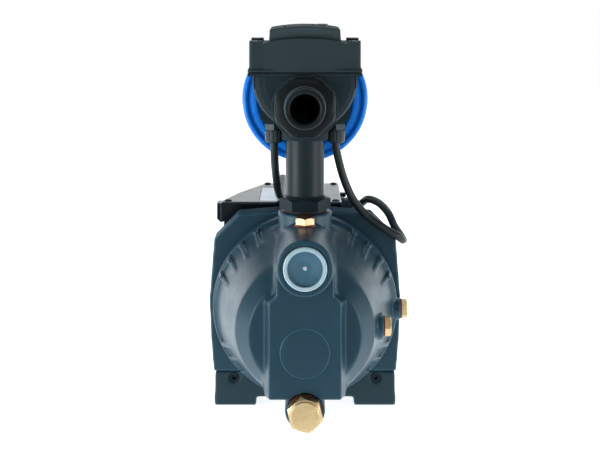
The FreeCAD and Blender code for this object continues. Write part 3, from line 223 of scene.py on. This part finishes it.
def gloss(name, col, deep, rough=0.22):
    """Glossy moulded shell: colour deepens in a slow drift, faint weld lines and handling scuffs."""
    g = G(name)
    big = g.noise(11.0, 3.0, 0.55, dist=0.8)
    c = g.mix(g.rng(big, 0.3, 0.7, 0.0, 1.0), deep, col)
    scuff = g.noise(300.0, 5.0, 0.7, vec=g.vec((1.0, 6.0, 1.0)))
    # edges are painted lighter: a painted highlight along the rims
    e = g.edge(0.0012, 0.03, 0.4)
    c = g.mix(g.math("MULTIPLY", e, 0.5), c, sc(col, 1.7))
    r = g.math("ADD", rough, g.rng(scuff, 0.5, 0.8, 0.0, 0.22))
    n = g.bump(g.noise(500.0, 2.0, 0.5), 0.00003, 0.4, g.bevel(0.0007))
    return g.set(color=c, rough=r, normal=n, spec=0.22, coat=0.06, coat_rough=0.12)


def metal(name, col, rough=0.3, scale=(1, 1, 1), marks=700.0, bevel=0.0005, depth=0.00003, tarnish=None, aniso=0.0):
    """Machined or plated metal: directional tool marks, patchy tarnish, bright worn edges."""
    g = G(name)
    lines = g.noise(marks, 4.0, 0.6, vec=g.vec(scale))
    patch = g.noise(60.0, 5.0, 0.65)
    c = g.mix(g.rng(lines, 0.35, 0.65, 0.0, 1.0), sc(col, 0.88), sc(col, 1.08))
    c = g.mix(g.rng(patch, 0.52, 0.72, 0.0, 0.55), c, tarnish or sc(col, 0.7))
    e = g.edge(bevel * 1.8, 0.03, 0.4)
    c = g.mix(g.math("MULTIPLY", e, 0.5), c, sc(col, 1.25))
    r = g.math("ADD", g.rng(patch, 0.3, 0.75, rough - 0.07, rough + 0.14), g.rng(lines, 0.3, 0.7, -0.05, 0.06))
    n = g.bump(lines, depth, 0.6, g.bevel(bevel))
    return g.set(color=c, rough=r, normal=n, metal=1.0, aniso=aniso)


def rubber(name, col, rough=0.55, bevel=0.0003):
    """Soft black rubber or PVC: matt bloom, fine extrusion lines, scattered dust."""
    g = G(name)
    fine = g.noise(2600.0, 2.0, 0.5)
    mid = g.noise(120.0, 4.0, 0.6)
    c = g.mix(g.rng(mid, 0.35, 0.7, 0.0, 1.0), sc(col, 0.8), sc(col, 1.35))
    c = g.mix(g.rng(fine, 0.62, 0.85, 0.0, 0.3), c, sc(col, 2.6))
    n = g.bump(fine, 0.00004, 0.5, g.bevel(bevel))
    n = g.bump(mid, 0.0002, 0.2, n)
    return g.set(color=c, rough=g.rng(mid, 0.3, 0.7, rough - 0.07, rough + 0.1), normal=n, spec=0.25)


def box_material():
    """Polished black ABS: nearly a mirror at grazing angles, with a faint sheen of dust and fine rub marks."""
    g = G("terminal_box_abs")
    mid = g.noise(60.0, 4.0, 0.6)
    fine = g.noise(1500.0, 2.0, 0.5)
    c = g.mix(g.rng(mid, 0.3, 0.7, 0.0, 1.0), (0.002, 0.005, 0.007), (0.004, 0.008, 0.011))
    c = g.mix(g.rng(fine, 0.62, 0.82, 0.0, 0.35), c, (0.05, 0.06, 0.07))
    # edges are painted lighter: a painted highlight line along them
    c = g.mix(g.math("MULTIPLY", g.edge(0.0012, 0.015, 0.2), 0.7), c, (0.09, 0.11, 0.12))
    n = g.bump(fine, 0.00003, 0.4, g.bevel(0.0009))
    up = g.sep(g.n("ShaderNodeNewGeometry").outputs["Normal"])[2]
    return g.set(color=c, rough=g.rng(mid, 0.3, 0.7, 0.13, 0.22), normal=n, spec=g.rng(up, 0.1, 0.8, 0.16, 0.5), coat=0.0, coat_rough=0.08)


# colours are linear
M = {}
M["casing"] = paint("casing_enamel", (0.0108, 0.037, 0.058), 0.35, peel=1.5, light=4.5, coat=0.06)
M["bracket"] = paint("bracket_enamel", (0.0098, 0.033, 0.052), 0.42, peel=1.2, light=5.0, coat=0.03, top=0.03)
M["foot"] = paint("foot_enamel", (0.0085, 0.022, 0.029), 0.46, peel=1.2, coat=0.03)
M["fan"] = paint("fan_cover_enamel", (0.0115, 0.039, 0.062), 0.36, coat=0.08, dense=False)
M["ctl"] = plastic("controller_polymer", (0.0145, 0.0240, 0.0290), 0.56, 0.0006, spec=0.04)
M["lid"] = plastic("controller_lid_polymer", (0.0200, 0.0310, 0.0355), 0.58, 0.0006, spec=0.10)
# the nipple's chamfer edges get strong painted highlight lines
M["nip"] = plastic("nipple_polymer", (0.006, 0.008, 0.009), 0.38, 0.0007, light=34.0, spec=0.11, lo=0.004, hi=0.06)
M["blackbolt"] = metal("black_screw", (0.016, 0.022, 0.027), 0.45, (1, 1, 1), 1200.0, 0.0003, 0.00002, (0.010, 0.012, 0.014))
M["lidscrew"] = metal("lid_screw", (0.17, 0.18, 0.19), 0.38, (1, 1, 1), 1200.0, 0.0003, 0.00002, (0.08, 0.085, 0.09))
M["con"] = plastic("console_polymer", (0.036, 0.050, 0.056), 0.62, 0.0006, spec=0.07)
M["pipe"] = plastic("riser_polymer", (0.009, 0.016, 0.020), 0.33, 0.0007, grain=0.08, spec=lambda g: g.rng(g.sep()[2], 0.186, 0.190, 0.04, 0.13), light=4.0)
M["box"] = box_material()
M["gland"] = plastic("gland_polyamide", (0.012, 0.022, 0.027), 0.42, 0.0004, spec=0.30, light=2.5, lo=0.01, hi=0.3)
M["fanblade"] = plastic("fan_polymer", (0.02, 0.022, 0.024), 0.5, 0.0005)
M["blue"] = gloss("cover_blue_polymer", (0.000, 0.190, 0.740), (0.000, 0.150, 0.600), 0.30)
M["brass_y"] = metal("brass_turned_y", (0.62, 0.45, 0.245), 0.36, (1, 0.15, 1), 700.0, 0.0007, 0.00006, (0.47, 0.31, 0.14))
M["brass_z"] = metal("brass_turned_z", (0.42, 0.265, 0.155), 0.32, (1, 1, 0.15), 900.0, 0.0005, 0.00005, (0.50, 0.30, 0.17))
M["zinc"] = metal("zinc_plate", (0.62, 0.64, 0.66), 0.28, (1, 1, 1), 1200.0, 0.0003, 0.00002, (0.45, 0.46, 0.48))
M["steel"] = metal("ground_steel", (0.55, 0.55, 0.56), 0.22, (1, 8, 1), 500.0, 0.0003, 0.00002)
M["core"] = metal("laminated_core", (0.30, 0.31, 0.33), 0.4, (1, 14, 1), 120.0, 0.0003, 0.0001)
M["alu"] = metal("cast_aluminium", (0.50, 0.52, 0.54), 0.42, (1, 0.2, 1), 380.0, 0.0006, 0.00012, (0.36, 0.38, 0.40))
M["copper"] = metal("enamelled_copper", (0.62, 0.24, 0.10), 0.32, (1, 0.3, 1), 900.0, 0.0003, 0.0002)
M["fibre"] = rubber("red_fibre", (0.13, 0.030, 0.020), 0.7)
M["rubber"] = rubber("black_rubber", (0.012, 0.013, 0.014), 0.6)
M["cable"] = rubber("cable_jacket", (0.010, 0.015, 0.016), 0.38)
M["white"] = plastic("white_polymer", (0.62, 0.61, 0.55), 0.4, 0.0004)
M["red"] = plastic("restart_button_polymer", (0.040, 0.050, 0.056), 0.36, 0.0004)
M["valve"] = plastic("valve_polymer", (0.010, 0.011, 0.012), 0.5, 0.0004, spec=0.2)
M["pcb"] = plastic("circuit_board", (0.02, 0.12, 0.05), 0.35, 0.0003)


def cap_material():
    """Translucent polyethylene: milky rim, thin dished web that shows the dark port behind it."""
    g = G("cap_polyethylene")
    s = g.sep()
    dx = s[0]
    dz = g.math("SUBTRACT", s[2], 0.147)
    r = g.math("SQRT", g.math("ADD", g.math("MULTIPLY", dx, dx), g.math("MULTIPLY", dz, dz)))
    web = g.rng(r, 0.0134, 0.0144, 0.0, 1.0)
    pip = g.rng(r, 0.0011, 0.0022, 1.0, 0.0)
    cloud = g.noise(160.0, 4.0, 0.6)
    inner = g.mix(g.rng(cloud, 0.3, 0.7, 0.0, 1.0), (0.034, 0.112, 0.172), (0.048, 0.140, 0.205))
    c = g.mix(web, inner, g.mix(g.rng(cloud, 0.3, 0.7, 0.0, 1.0), (0.35, 0.47, 0.53), (0.44, 0.56, 0.61)))
    line = g.math("SUBTRACT", 1.0, g.math("DIVIDE", g.math("ABSOLUTE", g.math("SUBTRACT", r, 0.0155)), 0.0005), clamp=True)
    c = g.mix(g.math("MULTIPLY", line, 0.45), c, (0.13, 0.20, 0.25))
    c = g.mix(pip, c, (0.45, 0.56, 0.63))
    n = g.bump(g.noise(1400.0, 2.0, 0.5), 0.00005, 0.5, g.bevel(0.0004))
    return g.set(color=c, rough=g.rng(cloud, 0.3, 0.7, 0.34, 0.46), normal=n, sss=0.25, sss_scale=0.003, spec=0.5)


def plate_material():
    """Blank aluminium rating plate: satin white lacquer, faint brushed grain, patches of darker wear, no lettering."""
    g = G("rating_plate_blank")
    grain = g.noise(1500.0, 3.0, 0.6, vec=g.vec((0.08, 1.0, 1.0)))
    mid = g.noise(90.0, 4.0, 0.6)
    c = g.mix(g.rng(grain, 0.3, 0.7, 0.0, 1.0), (0.80, 0.82, 0.83), (0.88, 0.89, 0.90))
    c = g.mix(g.rng(mid, 0.55, 0.75, 0.0, 0.25), c, (0.5, 0.52, 0.53))
    n = g.bump(grain, 0.00003, 0.5, g.bevel(0.0002))
    return g.set(color=c, rough=g.rng(mid, 0.3, 0.7, 0.3, 0.45), normal=n, spec=0.5)


M["cap"] = cap_material()
M["plate"] = plate_material()

look = {
    "pump_casing": "casing", "suction_transit_cap": "cap", "priming_plug": "brass_z", "drain_plug": "brass_y", "gauge_plug": "brass_y", "vent_plug": "brass_y",
    "plug_washers": "fibre", "ejector_nozzle": "white", "ejector_venturi": "white", "diffuser": "white", "impeller": "brass_y", "impeller_nut": "steel",
    "seal_seat": "white", "seal_rotating_ring": "rubber", "seal_spring": "steel", "casing_o_ring": "rubber", "motor_bracket": "bracket", "casing_bolts": "zinc",
    "foot_base": "foot", "foot_screws": "blackbolt", "stator_housing": "alu", "stator_core": "core", "stator_windings": "copper", "rotor_core": "core",
    "motor_shaft": "steel", "bearing_outer_rings": "steel", "bearing_inner_rings": "steel", "bearing_balls": "steel", "rear_end_shield": "alu",
    "cooling_fan": "fanblade", "fan_cover": "fan", "fan_cover_screws": "zinc", "tie_rods": "zinc", "terminal_box_lid": "box", "terminal_box_base": "box",
    "terminal_box_screws": "blackbolt", "rating_plate": "plate", "run_capacitor": "white", "terminal_block": "white", "motor_cable_gland": "gland",
    "riser_pipe": "pipe", "riser_gasket": "rubber", "controller_body": "ctl", "outlet_nipple": "nip", "controller_gasket": "rubber", "controller_lid": "lid",
    "controller_lid_screws": "lidscrew", "control_panel": "con", "restart_button": "red", "controller_pcb": "pcb", "flow_valve": "valve", "valve_spring": "steel",
    "diaphragm": "rubber", "diaphragm_plate": "white", "pressure_spring": "steel", "diaphragm_cover": "blue", "controller_glands": "gland",
    "motor_cable": "cable", "mains_cable": "cable", "mains_plug": "rubber"}
for name, o in nodes.items():
    m = M[look[name]]
    if not o.material_slots:
        o.data.materials.append(m)
    for s in o.material_slots:
        s.link = "OBJECT"
        s.material = m


# ------------------------------------------------------------------ mesh tools
def obj_from(name, me, mat, body="pump", smooth=True):
    me.materials.clear()
    me.materials.append(M[mat])
    o = bpy.data.objects.new(name, me)
    scene.collection.objects.link(o)
    if smooth:
        for p in me.polygons:
            p.use_smooth = True
    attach(o, body)
    return o


def welded(node):
    """A welded copy of a CAD node's mesh."""
    bm = bmesh.new()
    bm.from_mesh(nodes[node].data)
    bmesh.ops.remove_doubles(bm, verts=bm.verts, dist=2e-6)
    me = bpy.data.meshes.new(node + "_copy")
    bm.to_mesh(me)
    bm.free()
    return me


def applied(o):
    """The mesh of o with its modifiers applied."""
    dg = bpy.context.evaluated_depsgraph_get()
    dg.update()
    me = bpy.data.meshes.new_from_object(o.evaluated_get(dg), depsgraph=dg)
    o.modifiers.clear()
    return me


def band(v, a, b, c, d):
    return np.clip((v - a) / (b - a), 0, 1) * np.clip((d - v) / (d - c), 0, 1)


def blend_in(me, weight, rounds):
    """Relaxes part of a dense mesh so that neighbouring forms run into each other with a wide fillet."""
    n = len(me.vertices)
    co = np.empty(n * 3)
    me.vertices.foreach_get("co", co)
    co = co.reshape(-1, 3)
    w = weight(co[:, 0], co[:, 1], co[:, 2])
    e = np.empty(len(me.edges) * 2, dtype=np.int64)
    me.edges.foreach_get("vertices", e)
    e = e.reshape(-1, 2)
    e = e[(w[e[:, 0]] > 0) | (w[e[:, 1]] > 0)]
    ids, e = np.unique(e, return_inverse=True)
    e = e.reshape(-1, 2)
    p, k = co[ids], len(ids)
    deg = np.bincount(e.ravel(), minlength=k).astype(float)
    f = (0.6 * w[ids] / deg)[:, None]
    for _ in range(rounds):
        s = np.stack([np.bincount(e[:, 0], p[e[:, 1], i], k) + np.bincount(e[:, 1], p[e[:, 0], i], k) for i in range(3)], 1)
        p = p + f * (s - deg[:, None] * p)
    co[ids] = p
    me.vertices.foreach_set("co", co.ravel())
    me.update()


def cast(node, name, mat, voxel=0.0011, smooth=7, tris=170000, body="pump", soft=()):
    """A sand casting made from the CAD solid: voxel remesh, relaxed so that every corner gets a small fillet, then thinned."""
    me = welded(node)
    o = bpy.data.objects.new(name + "_tmp", me)
    scene.collection.objects.link(o)
    r = o.modifiers.new("remesh", "REMESH")
    r.mode = "VOXEL"
    r.voxel_size = voxel
    s = o.modifiers.new("relax", "SMOOTH")
    s.factor = 0.5
    s.iterations = smooth
    me2 = applied(o)
    for weight, rounds in soft:
        blend_in(me2, weight, rounds)
    n = len(me2.polygons) * 2
    if n > tris:
        o.data = me2
        d = o.modifiers.new("thin", "DECIMATE")
        d.ratio = tris / n
        me2 = applied(o)
    bpy.data.objects.remove(o)
    me2.name = name
    q = obj_from(name, me2, mat, body)
    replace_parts(q, node)
    print(name, "faces", len(me2.polygons))
    return q


def lathe(bm, prof, axis, centre, n=64, close=True):
    """Turned closed ring or solid. prof: (along, radius) pairs in metres."""
    ax = {"X": 0, "Y": 1, "Z": 2}[axis]
    u, v = {"X": (1, 2), "Y": (0, 2), "Z": (0, 1)}[axis]
    rings = []
    for a, r in prof:
        if r < 1e-7:
            p = [0, 0, 0]
            p[ax] = a
            rings.append([bm.verts.new(Vector(p) + Vector(centre))])
            continue
        ring = []
        for i in range(n):
            t = 2 * math.pi * i / n
            p = [0, 0, 0]
            p[ax], p[u], p[v] = a, r * math.cos(t), r * math.sin(t)
            ring.append(bm.verts.new(Vector(p) + Vector(centre)))
        rings.append(ring)
    k = len(rings)
    for j in range(k if close and len(rings[0]) > 1 and len(rings[-1]) > 1 else k - 1):
        a, b = rings[j], rings[(j + 1) % k]
        for i in range(n):
            i2 = (i + 1) % n
            if len(a) == 1 and len(b) == 1:
                continue
            if len(a) == 1:
                bm.faces.new((a[0], b[i2], b[i]))
            elif len(b) == 1:
                bm.faces.new((a[i], a[i2], b[0]))
            else:
                bm.faces.new((a[i], a[i2], b[i2], b[i]))
    bmesh.ops.recalc_face_normals(bm, faces=bm.faces)


def mesh_of(bm, name):
    me = bpy.data.meshes.new(name)
    bm.to_mesh(me)
    bm.free()
    return me


def spline(points, step=0.002):
    """Centripetal Catmull-Rom through the points, sampled evenly."""
    P = [Vector(p) for p in points]
    P = [P[0] * 2 - P[1]] + P + [P[-1] * 2 - P[-2]]
    out = []
    for i in range(1, len(P) - 2):
        p0, p1, p2, p3 = P[i - 1], P[i], P[i + 1], P[i + 2]
        t0 = 0.0
        t1 = t0 + max((p1 - p0).length, 1e-9) ** 0.5
        t2 = t1 + max((p2 - p1).length, 1e-9) ** 0.5
        t3 = t2 + max((p3 - p2).length, 1e-9) ** 0.5
        n = max(2, int((p2 - p1).length / step))
        for k in range(n):
            t = t1 + (t2 - t1) * k / n
            a1 = p0 * ((t1 - t) / (t1 - t0)) + p1 * ((t - t0) / (t1 - t0))
            a2 = p1 * ((t2 - t) / (t2 - t1)) + p2 * ((t - t1) / (t2 - t1))
            a3 = p2 * ((t3 - t) / (t3 - t2)) + p3 * ((t - t2) / (t3 - t2))
            b1 = a1 * ((t2 - t) / (t2 - t0)) + a2 * ((t - t0) / (t2 - t0))
            b2 = a2 * ((t3 - t) / (t3 - t1)) + a3 * ((t - t1) / (t3 - t1))
            out.append(b1 * ((t2 - t) / (t2 - t1)) + b2 * ((t - t1) / (t2 - t1)))
    out.append(P[-2])
    return out


def tube(name, points, r, mat, node, n=20, body="pump"):
    """A closed round cable along a smooth path, with the faint twist of its cores."""
    path = spline(points)
    bm = bmesh.new()
    rings = []
    up = Vector((0.3, 0.7, 0.2)).normalized()
    length = 0.0
    for i, p in enumerate(path):
        t = (path[min(i + 1, len(path) - 1)] - path[max(i - 1, 0)]).normalized()
        side = t.cross(up).normalized()
        up = side.cross(t).normalized()
        if i:
            length += (p - path[i - 1]).length
        ring = []
        for k in range(n):
            a = 2 * math.pi * k / n
            rr = r * (0.982 + 0.014 * math.cos(3 * a + length * 190.0))
            ring.append(bm.verts.new(p + side * (rr * math.cos(a)) + up * (rr * math.sin(a))))
        rings.append(ring)
    for a, b in zip(rings, rings[1:]):
        for k in range(n):
            bm.faces.new((a[k], a[(k + 1) % n], b[(k + 1) % n], b[k]))
    bm.faces.new(rings[0][::-1])
    bm.faces.new(rings[-1])
    bmesh.ops.recalc_face_normals(bm, faces=bm.faces)
    o = obj_from(name, mesh_of(bm, name), mat, body)
    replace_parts(o, node)
    return o


def mm(*p):
    return tuple(v * 0.001 for v in p)


# ------------------------------------------------------------------ castings
def neck_flares(x, y, z):
    wide = 0.031 + 0.018 * np.clip((-0.106 - y) / 0.010, 0, 1)      # stays clear of the gussets near the rim
    return band(abs(x), 0.015, 0.020, wide, wide + 0.006) * band(z, 0.120, 0.132, 0.164, 0.1705) * band(y, -0.152, -0.144, -0.076, -0.068)


def pad_flares(x, y, z):
    return band(abs(x), 0.026, 0.031, 0.050, 0.058) * band(z, 0.008, 0.016, 0.046, 0.075) * band(y, -0.1535, -0.150, -0.09, -0.08)


cast("pump_casing", "casing_casting", "casing", 0.00085, 4, 190000, soft=((neck_flares, 110), (pad_flares, 45)))
cast("motor_bracket", "bracket_casting", "bracket", 0.0013, 5, 120000)
cast("foot_base", "foot_casting", "foot", 0.0011, 4, 60000)

# ------------------------------------------------------------------ cables
mc = [(26.0, -69.0, 250.0), (26.0, -69.0, 227.0), (29.0, -67.5, 212.0), (34.4, -64.6, 194.0), (41.6, -61.5, 179.0), (52.0, -59.0, 166.4),
      (70.0, -56.5, 153.0), (80.0, -53.5, 146.6), (84.4, -46.0, 142.2), (84.0, -34.0, 142.6), (78.8, -23.0, 149.0), (74.0, -11.0, 158.6),
      (66.0, 3.0, 165.0), (57.0, 17.0, 165.4), (52.0, 25.0, 160.4), (48.5, 25.0, 158.0), (20.0, 25.0, 158.0)]
tube("motor_cable_jacket", [mm(*p) for p in mc], 0.0035, "cable", "motor_cable")
pc = [(-26.0, -69.0, 250.0), (-26.0, -69.0, 227.0), (-25.4, -64.0, 210.0), (-24.2, -48.0, 192.0), (-23.0, -24.0, 179.0), (-22.0, -2.0, 172.2),
      (-22.0, 92.0, 172.2), (-22.0, 112.0, 162.6), (-22.0, 130.0, 156.0),
      (-22.0, 186.0, 156.0), (-22.0, 197.0, 149.0), (-21.0, 203.0, 132.0), (-21.0, 203.0, 42.0), (-26.0, 208.5, 24.0), (-36.0, 214.0, 18.6),
      (-45.0, 222.0, 18.4), (-42.0, 232.0, 18.4), (-32.0, 234.0, 18.4), (-10.0, 234.0, 18.4)]
tube("mains_cable_jacket", [mm(*p) for p in pc], 0.0035, "cable", "mains_cable")


# ------------------------------------------------------------------ outlet nipple with its thread
def threaded_nipple():
    """The wrench pad from the CAD solid, and a spigot cut with a real helical thread, 11 turns to the inch."""
    bm = bmesh.new()
    bm.from_mesh(nodes["outlet_nipple"].data)
    bmesh.ops.remove_doubles(bm, verts=bm.verts, dist=2e-6)
    res = bmesh.ops.bisect_plane(bm, geom=bm.verts[:] + bm.edges[:] + bm.faces[:], plane_co=(0, -0.1128, 0), plane_no=(0, -1, 0), clear_outer=True, dist=1e-7)
    loop = [e for e in res["geom_cut"] if isinstance(e, bmesh.types.BMEdge)]
    bmesh.ops.bridge_loops(bm, edges=loop)
    cx, cz = 0.0, 0.264
    pitch, rc, depth = 0.002309, 0.01660, 0.00120
    y0, y1 = -0.1262, -0.1122
    n, m = 96, 84
    rows = []

    def ring(y, rf):
        row = []
        for k in range(n):
            t = 2 * math.pi * k / n
            r = rf(y, t)
            row.append(bm.verts.new((cx + r * math.cos(t), y, cz + r * math.sin(t))))
        return row

    def thread(y, t):
        ph = ((y - y0) / pitch + t / (2 * math.pi)) % 1.0
        tri = abs(ph * 2 - 1)                      # 0 at the root, 1 at the crest
        tri = min(1.0, max(0.0, (tri - 0.12) / 0.76))
        fade = min(1.0, (y - y0) / 0.0012) * min(1.0, max(0.0, (y1 - 0.0012 - y) / 0.0016))
        return rc - depth * (1 - tri) * max(fade, 0.0)

    rows.append(ring(-0.1270, lambda y, t: 0.0142))
    rows.append(ring(-0.1270, lambda y, t: 0.0154))
    rows.append(ring(-0.1266, lambda y, t: 0.0160))
    for j in range(m + 1):
        y = y0 + (y1 - y0) * j / m
        rows.append(ring(y, thread))
    rows.append(ring(-0.1120, lambda y, t: 0.0160))
    rows.append(ring(-0.1120, lambda y, t: 0.01195))
    for y in (-0.1160, -0.1200, -0.1240):
        rows.append(ring(y, lambda y, t: 0.01195))
    rows.append(ring(-0.1258, lambda y, t: 0.0120))
    rows.append(ring(-0.1268, lambda y, t: 0.0132))
    for j in range(len(rows)):
        a, b = rows[j], rows[(j + 1) % len(rows)]
        for k in range(n):
            k2 = (k + 1) % n
            bm.faces.new((a[k], a[k2], b[k2], b[k]))
    bmesh.ops.recalc_face_normals(bm, faces=bm.faces)
    o = obj_from("outlet_threaded_nipple", mesh_of(bm, "outlet_threaded_nipple"), "nip", "pump", smooth=False)
    for p in o.data.polygons:
        p.use_smooth = p.center.y < -0.1121
    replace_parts(o, "outlet_nipple")


threaded_nipple()


def lid_screws():
    """The lid screws, their shanks ending inside the flange of the controller body."""
    bm = bmesh.new()
    bm.from_mesh(nodes["controller_lid_screws"].data)
    bmesh.ops.remove_doubles(bm, verts=bm.verts, dist=2e-6)
    res = bmesh.ops.bisect_plane(bm, geom=bm.verts[:] + bm.edges[:] + bm.faces[:], plane_co=(0, 0, 0.28870), plane_no=(0, 0, -1), clear_outer=True, dist=1e-7)
    bmesh.ops.holes_fill(bm, edges=[e for e in res["geom_cut"] if isinstance(e, bmesh.types.BMEdge)], sides=0)
    bmesh.ops.recalc_face_normals(bm, faces=bm.faces)
    print("lid screws, open edges", sum(1 for e in bm.edges if not e.is_manifold))
    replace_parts(obj_from("lid_screws_short", mesh_of(bm, "lid_screws_short"), "lidscrew", smooth=False), "controller_lid_screws")


lid_screws()

# ------------------------------------------------------------------ small pieces
# the two springs, each on a mesh of its own
def spring(node, mat):
    o = obj_from(node + "_coils", welded(node), mat)
    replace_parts(o, node)
    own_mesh(o)


spring("valve_spring", "blackbolt")
spring("pressure_spring", "steel")

# plain raised medallion on the ejector pad
bm = bmesh.new()
lathe(bm, [mm(a, b) for a, b in ((-155.35, 0.0), (-155.35, 17.2), (-155.30, 17.6), (-155.05, 17.9), (-155.05, 18.3), (-155.35, 18.6), (-155.42, 19.0), (-155.35, 19.4), (-154.9, 19.7), (-154.0, 19.7), (-154.0, 0.0))],
      "Y", mm(0, 0, 78.0), 96, close=False)
obj_from("pad_medallion", mesh_of(bm, "pad_medallion"), "casing")

# three indicator lenses in the console
M["lens"] = gloss("indicator_lens", (0.020, 0.045, 0.030), (0.014, 0.030, 0.020), 0.35)
for i in range(3):
    bm = bmesh.new()
    lathe(bm, [mm(a, b) for a, b in ((325.0, 0.0), (325.0, 1.5), (329.0, 1.5), (329.8, 1.2), (330.1, 0.7), (330.2, 0.0))], "Z", mm(-16.0 + 8 * i, -92.0, -0.6 - 0.16 * (2 - i)), 24, close=False)
    obj_from("indicator_lens_%d" % (i + 1), mesh_of(bm, "lens"), "lens")

# ------------------------------------------------------------------ floor, light, camera
g = G("floor_pale")
fn = g.noise(3.0, 2.0, 0.5)
gs = g.sep()
fx = g.math("MAXIMUM", g.math("MULTIPLY", gs[0], -1.0), g.math("MULTIPLY", gs[0], 0.62))
cr = g.n("ShaderNodeLightPath").outputs["Is Camera Ray"]
glow = g.rng(fx, 0.12, 0.42, 0.18, 1.40)          # the sweep glows more to the left, and close in, than straight ahead
glow = g.math("MAXIMUM", glow, g.rng(gs[1], -0.32, -0.20, 0.0, 1.25))
es = g.math("ADD", g.math("MULTIPLY", cr, 0.80), g.math("MULTIPLY", g.math("SUBTRACT", 1.0, cr), glow))
g.set(color=g.mix(g.rng(fn, 0.3, 0.7, 0, 1), (0.86, 0.86, 0.86), (0.90, 0.90, 0.90)), rough=0.75, spec=0.1, emit=g.mix(cr, (0.88, 0.97, 1.0), (1.0, 1.0, 1.0)), emit_s=es)
bm = bmesh.new()
bmesh.ops.create_grid(bm, x_segments=2, y_segments=2, size=60.0)
me = mesh_of(bm, "floor")
me.materials.append(g.m)
floor = bpy.data.objects.new("floor", me)
floor.location.z = -0.0002
scene.collection.objects.link(floor)

w = bpy.data.worlds.new("studio")
scene.world = w
w.use_nodes = True
wt = w.node_tree
bg = wt.nodes["Background"]
bg.inputs[0].default_value = (0.99, 0.995, 1.0, 1)
lp = wt.nodes.new("ShaderNodeLightPath")
mr = wt.nodes.new("ShaderNodeMapRange")
mr.inputs[3].default_value = 0.22
mr.inputs[4].default_value = 1.0
wt.links.new(lp.outputs["Is Camera Ray"], mr.inputs[0])
wt.links.new(mr.outputs[0], bg.inputs[1])


def area(name, loc, target, size, power, sy=None, col=(1, 1, 1)):
    L = bpy.data.lights.new(name, "AREA")
    L.shape = "RECTANGLE"
    L.size, L.size_y = size, sy or size
    L.energy = power
    L.color = col
    o = bpy.data.objects.new(name, L)
    scene.collection.objects.link(o)
    o.location = loc
    o.rotation_euler = (Vector(target) - Vector(loc)).to_track_quat("-Z", "Y").to_euler()
    o.visible_camera = False
    return o


area("backdrop", (0.0, 2.2, 0.62), (0, 0.0, 0.30), 2.6, 9.0, 1.2, col=(0.92, 0.98, 1.0))
area("softbox_back_left", (-1.15, 1.0, 0.34), (0, -0.05, 0.12), 1.3, 5.0, 0.66)
area("softbox_back_right", (1.15, 1.0, 0.34), (0, -0.05, 0.12), 1.3, 3.6, 0.66)
area("softbox_left", (-1.35, -0.50, 0.45), (0, -0.08, 0.16), 0.5, 6.0, 0.9, col=(0.86, 0.97, 1.0))
area("softbox_right", (1.40, -0.30, 0.30), (0, -0.08, 0.12), 0.6, 3.0, 0.6)
area("softbox_top", (0.0, 0.7, 1.5), (0, -0.05, 0.2), 1.5, 12.0, 1.0, col=(0.80, 0.93, 1.0))
area("softbox_low_left", (-0.75, -0.55, 0.10), (0, -0.10, 0.08), 0.5, 3.2, 0.18, col=(0.90, 0.98, 1.0))
area("softbox_low_right", (0.78, -0.50, 0.10), (0, -0.10, 0.08), 0.4, 1.6, 0.18)
area("fill_front", (0.0, -2.3, 1.7), (0, 0, 0.15), 1.6, 6.0, 0.8, col=(0.90, 0.98, 1.0))

cam = bpy.data.cameras.new("camera")
cam.sensor_width = 36.0
cam.lens = 1254.0 / 600.0 * 36.0
cam.clip_end = 100.0
co = bpy.data.objects.new("camera", cam)
scene.collection.objects.link(co)
co.location = (0.0, -1.127, 0.380)
co.rotation_euler = (math.pi / 2, 0, 0)
scene.camera = co
# the studio camera is level with its lens shifted down; the shift holds only where that camera stands
for k, val in (("shift_x", -0.00833), ("shift_y", -0.4425)):
    d = cam.driver_add(k).driver
    d.type = "SCRIPTED"
    v = d.variables.new()
    v.name = "y"
    v.type = "TRANSFORMS"
    v.targets[0].id = co
    v.targets[0].transform_type = "LOC_Y"
    v.targets[0].transform_space = "WORLD_SPACE"
    d.expression = "%.5f if abs(y + 1.127) < 0.0005 else 0.0" % val
scene.view_settings.view_transform = "Standard"
scene.view_settings.look = "None"
scene.view_settings.exposure = 0.0
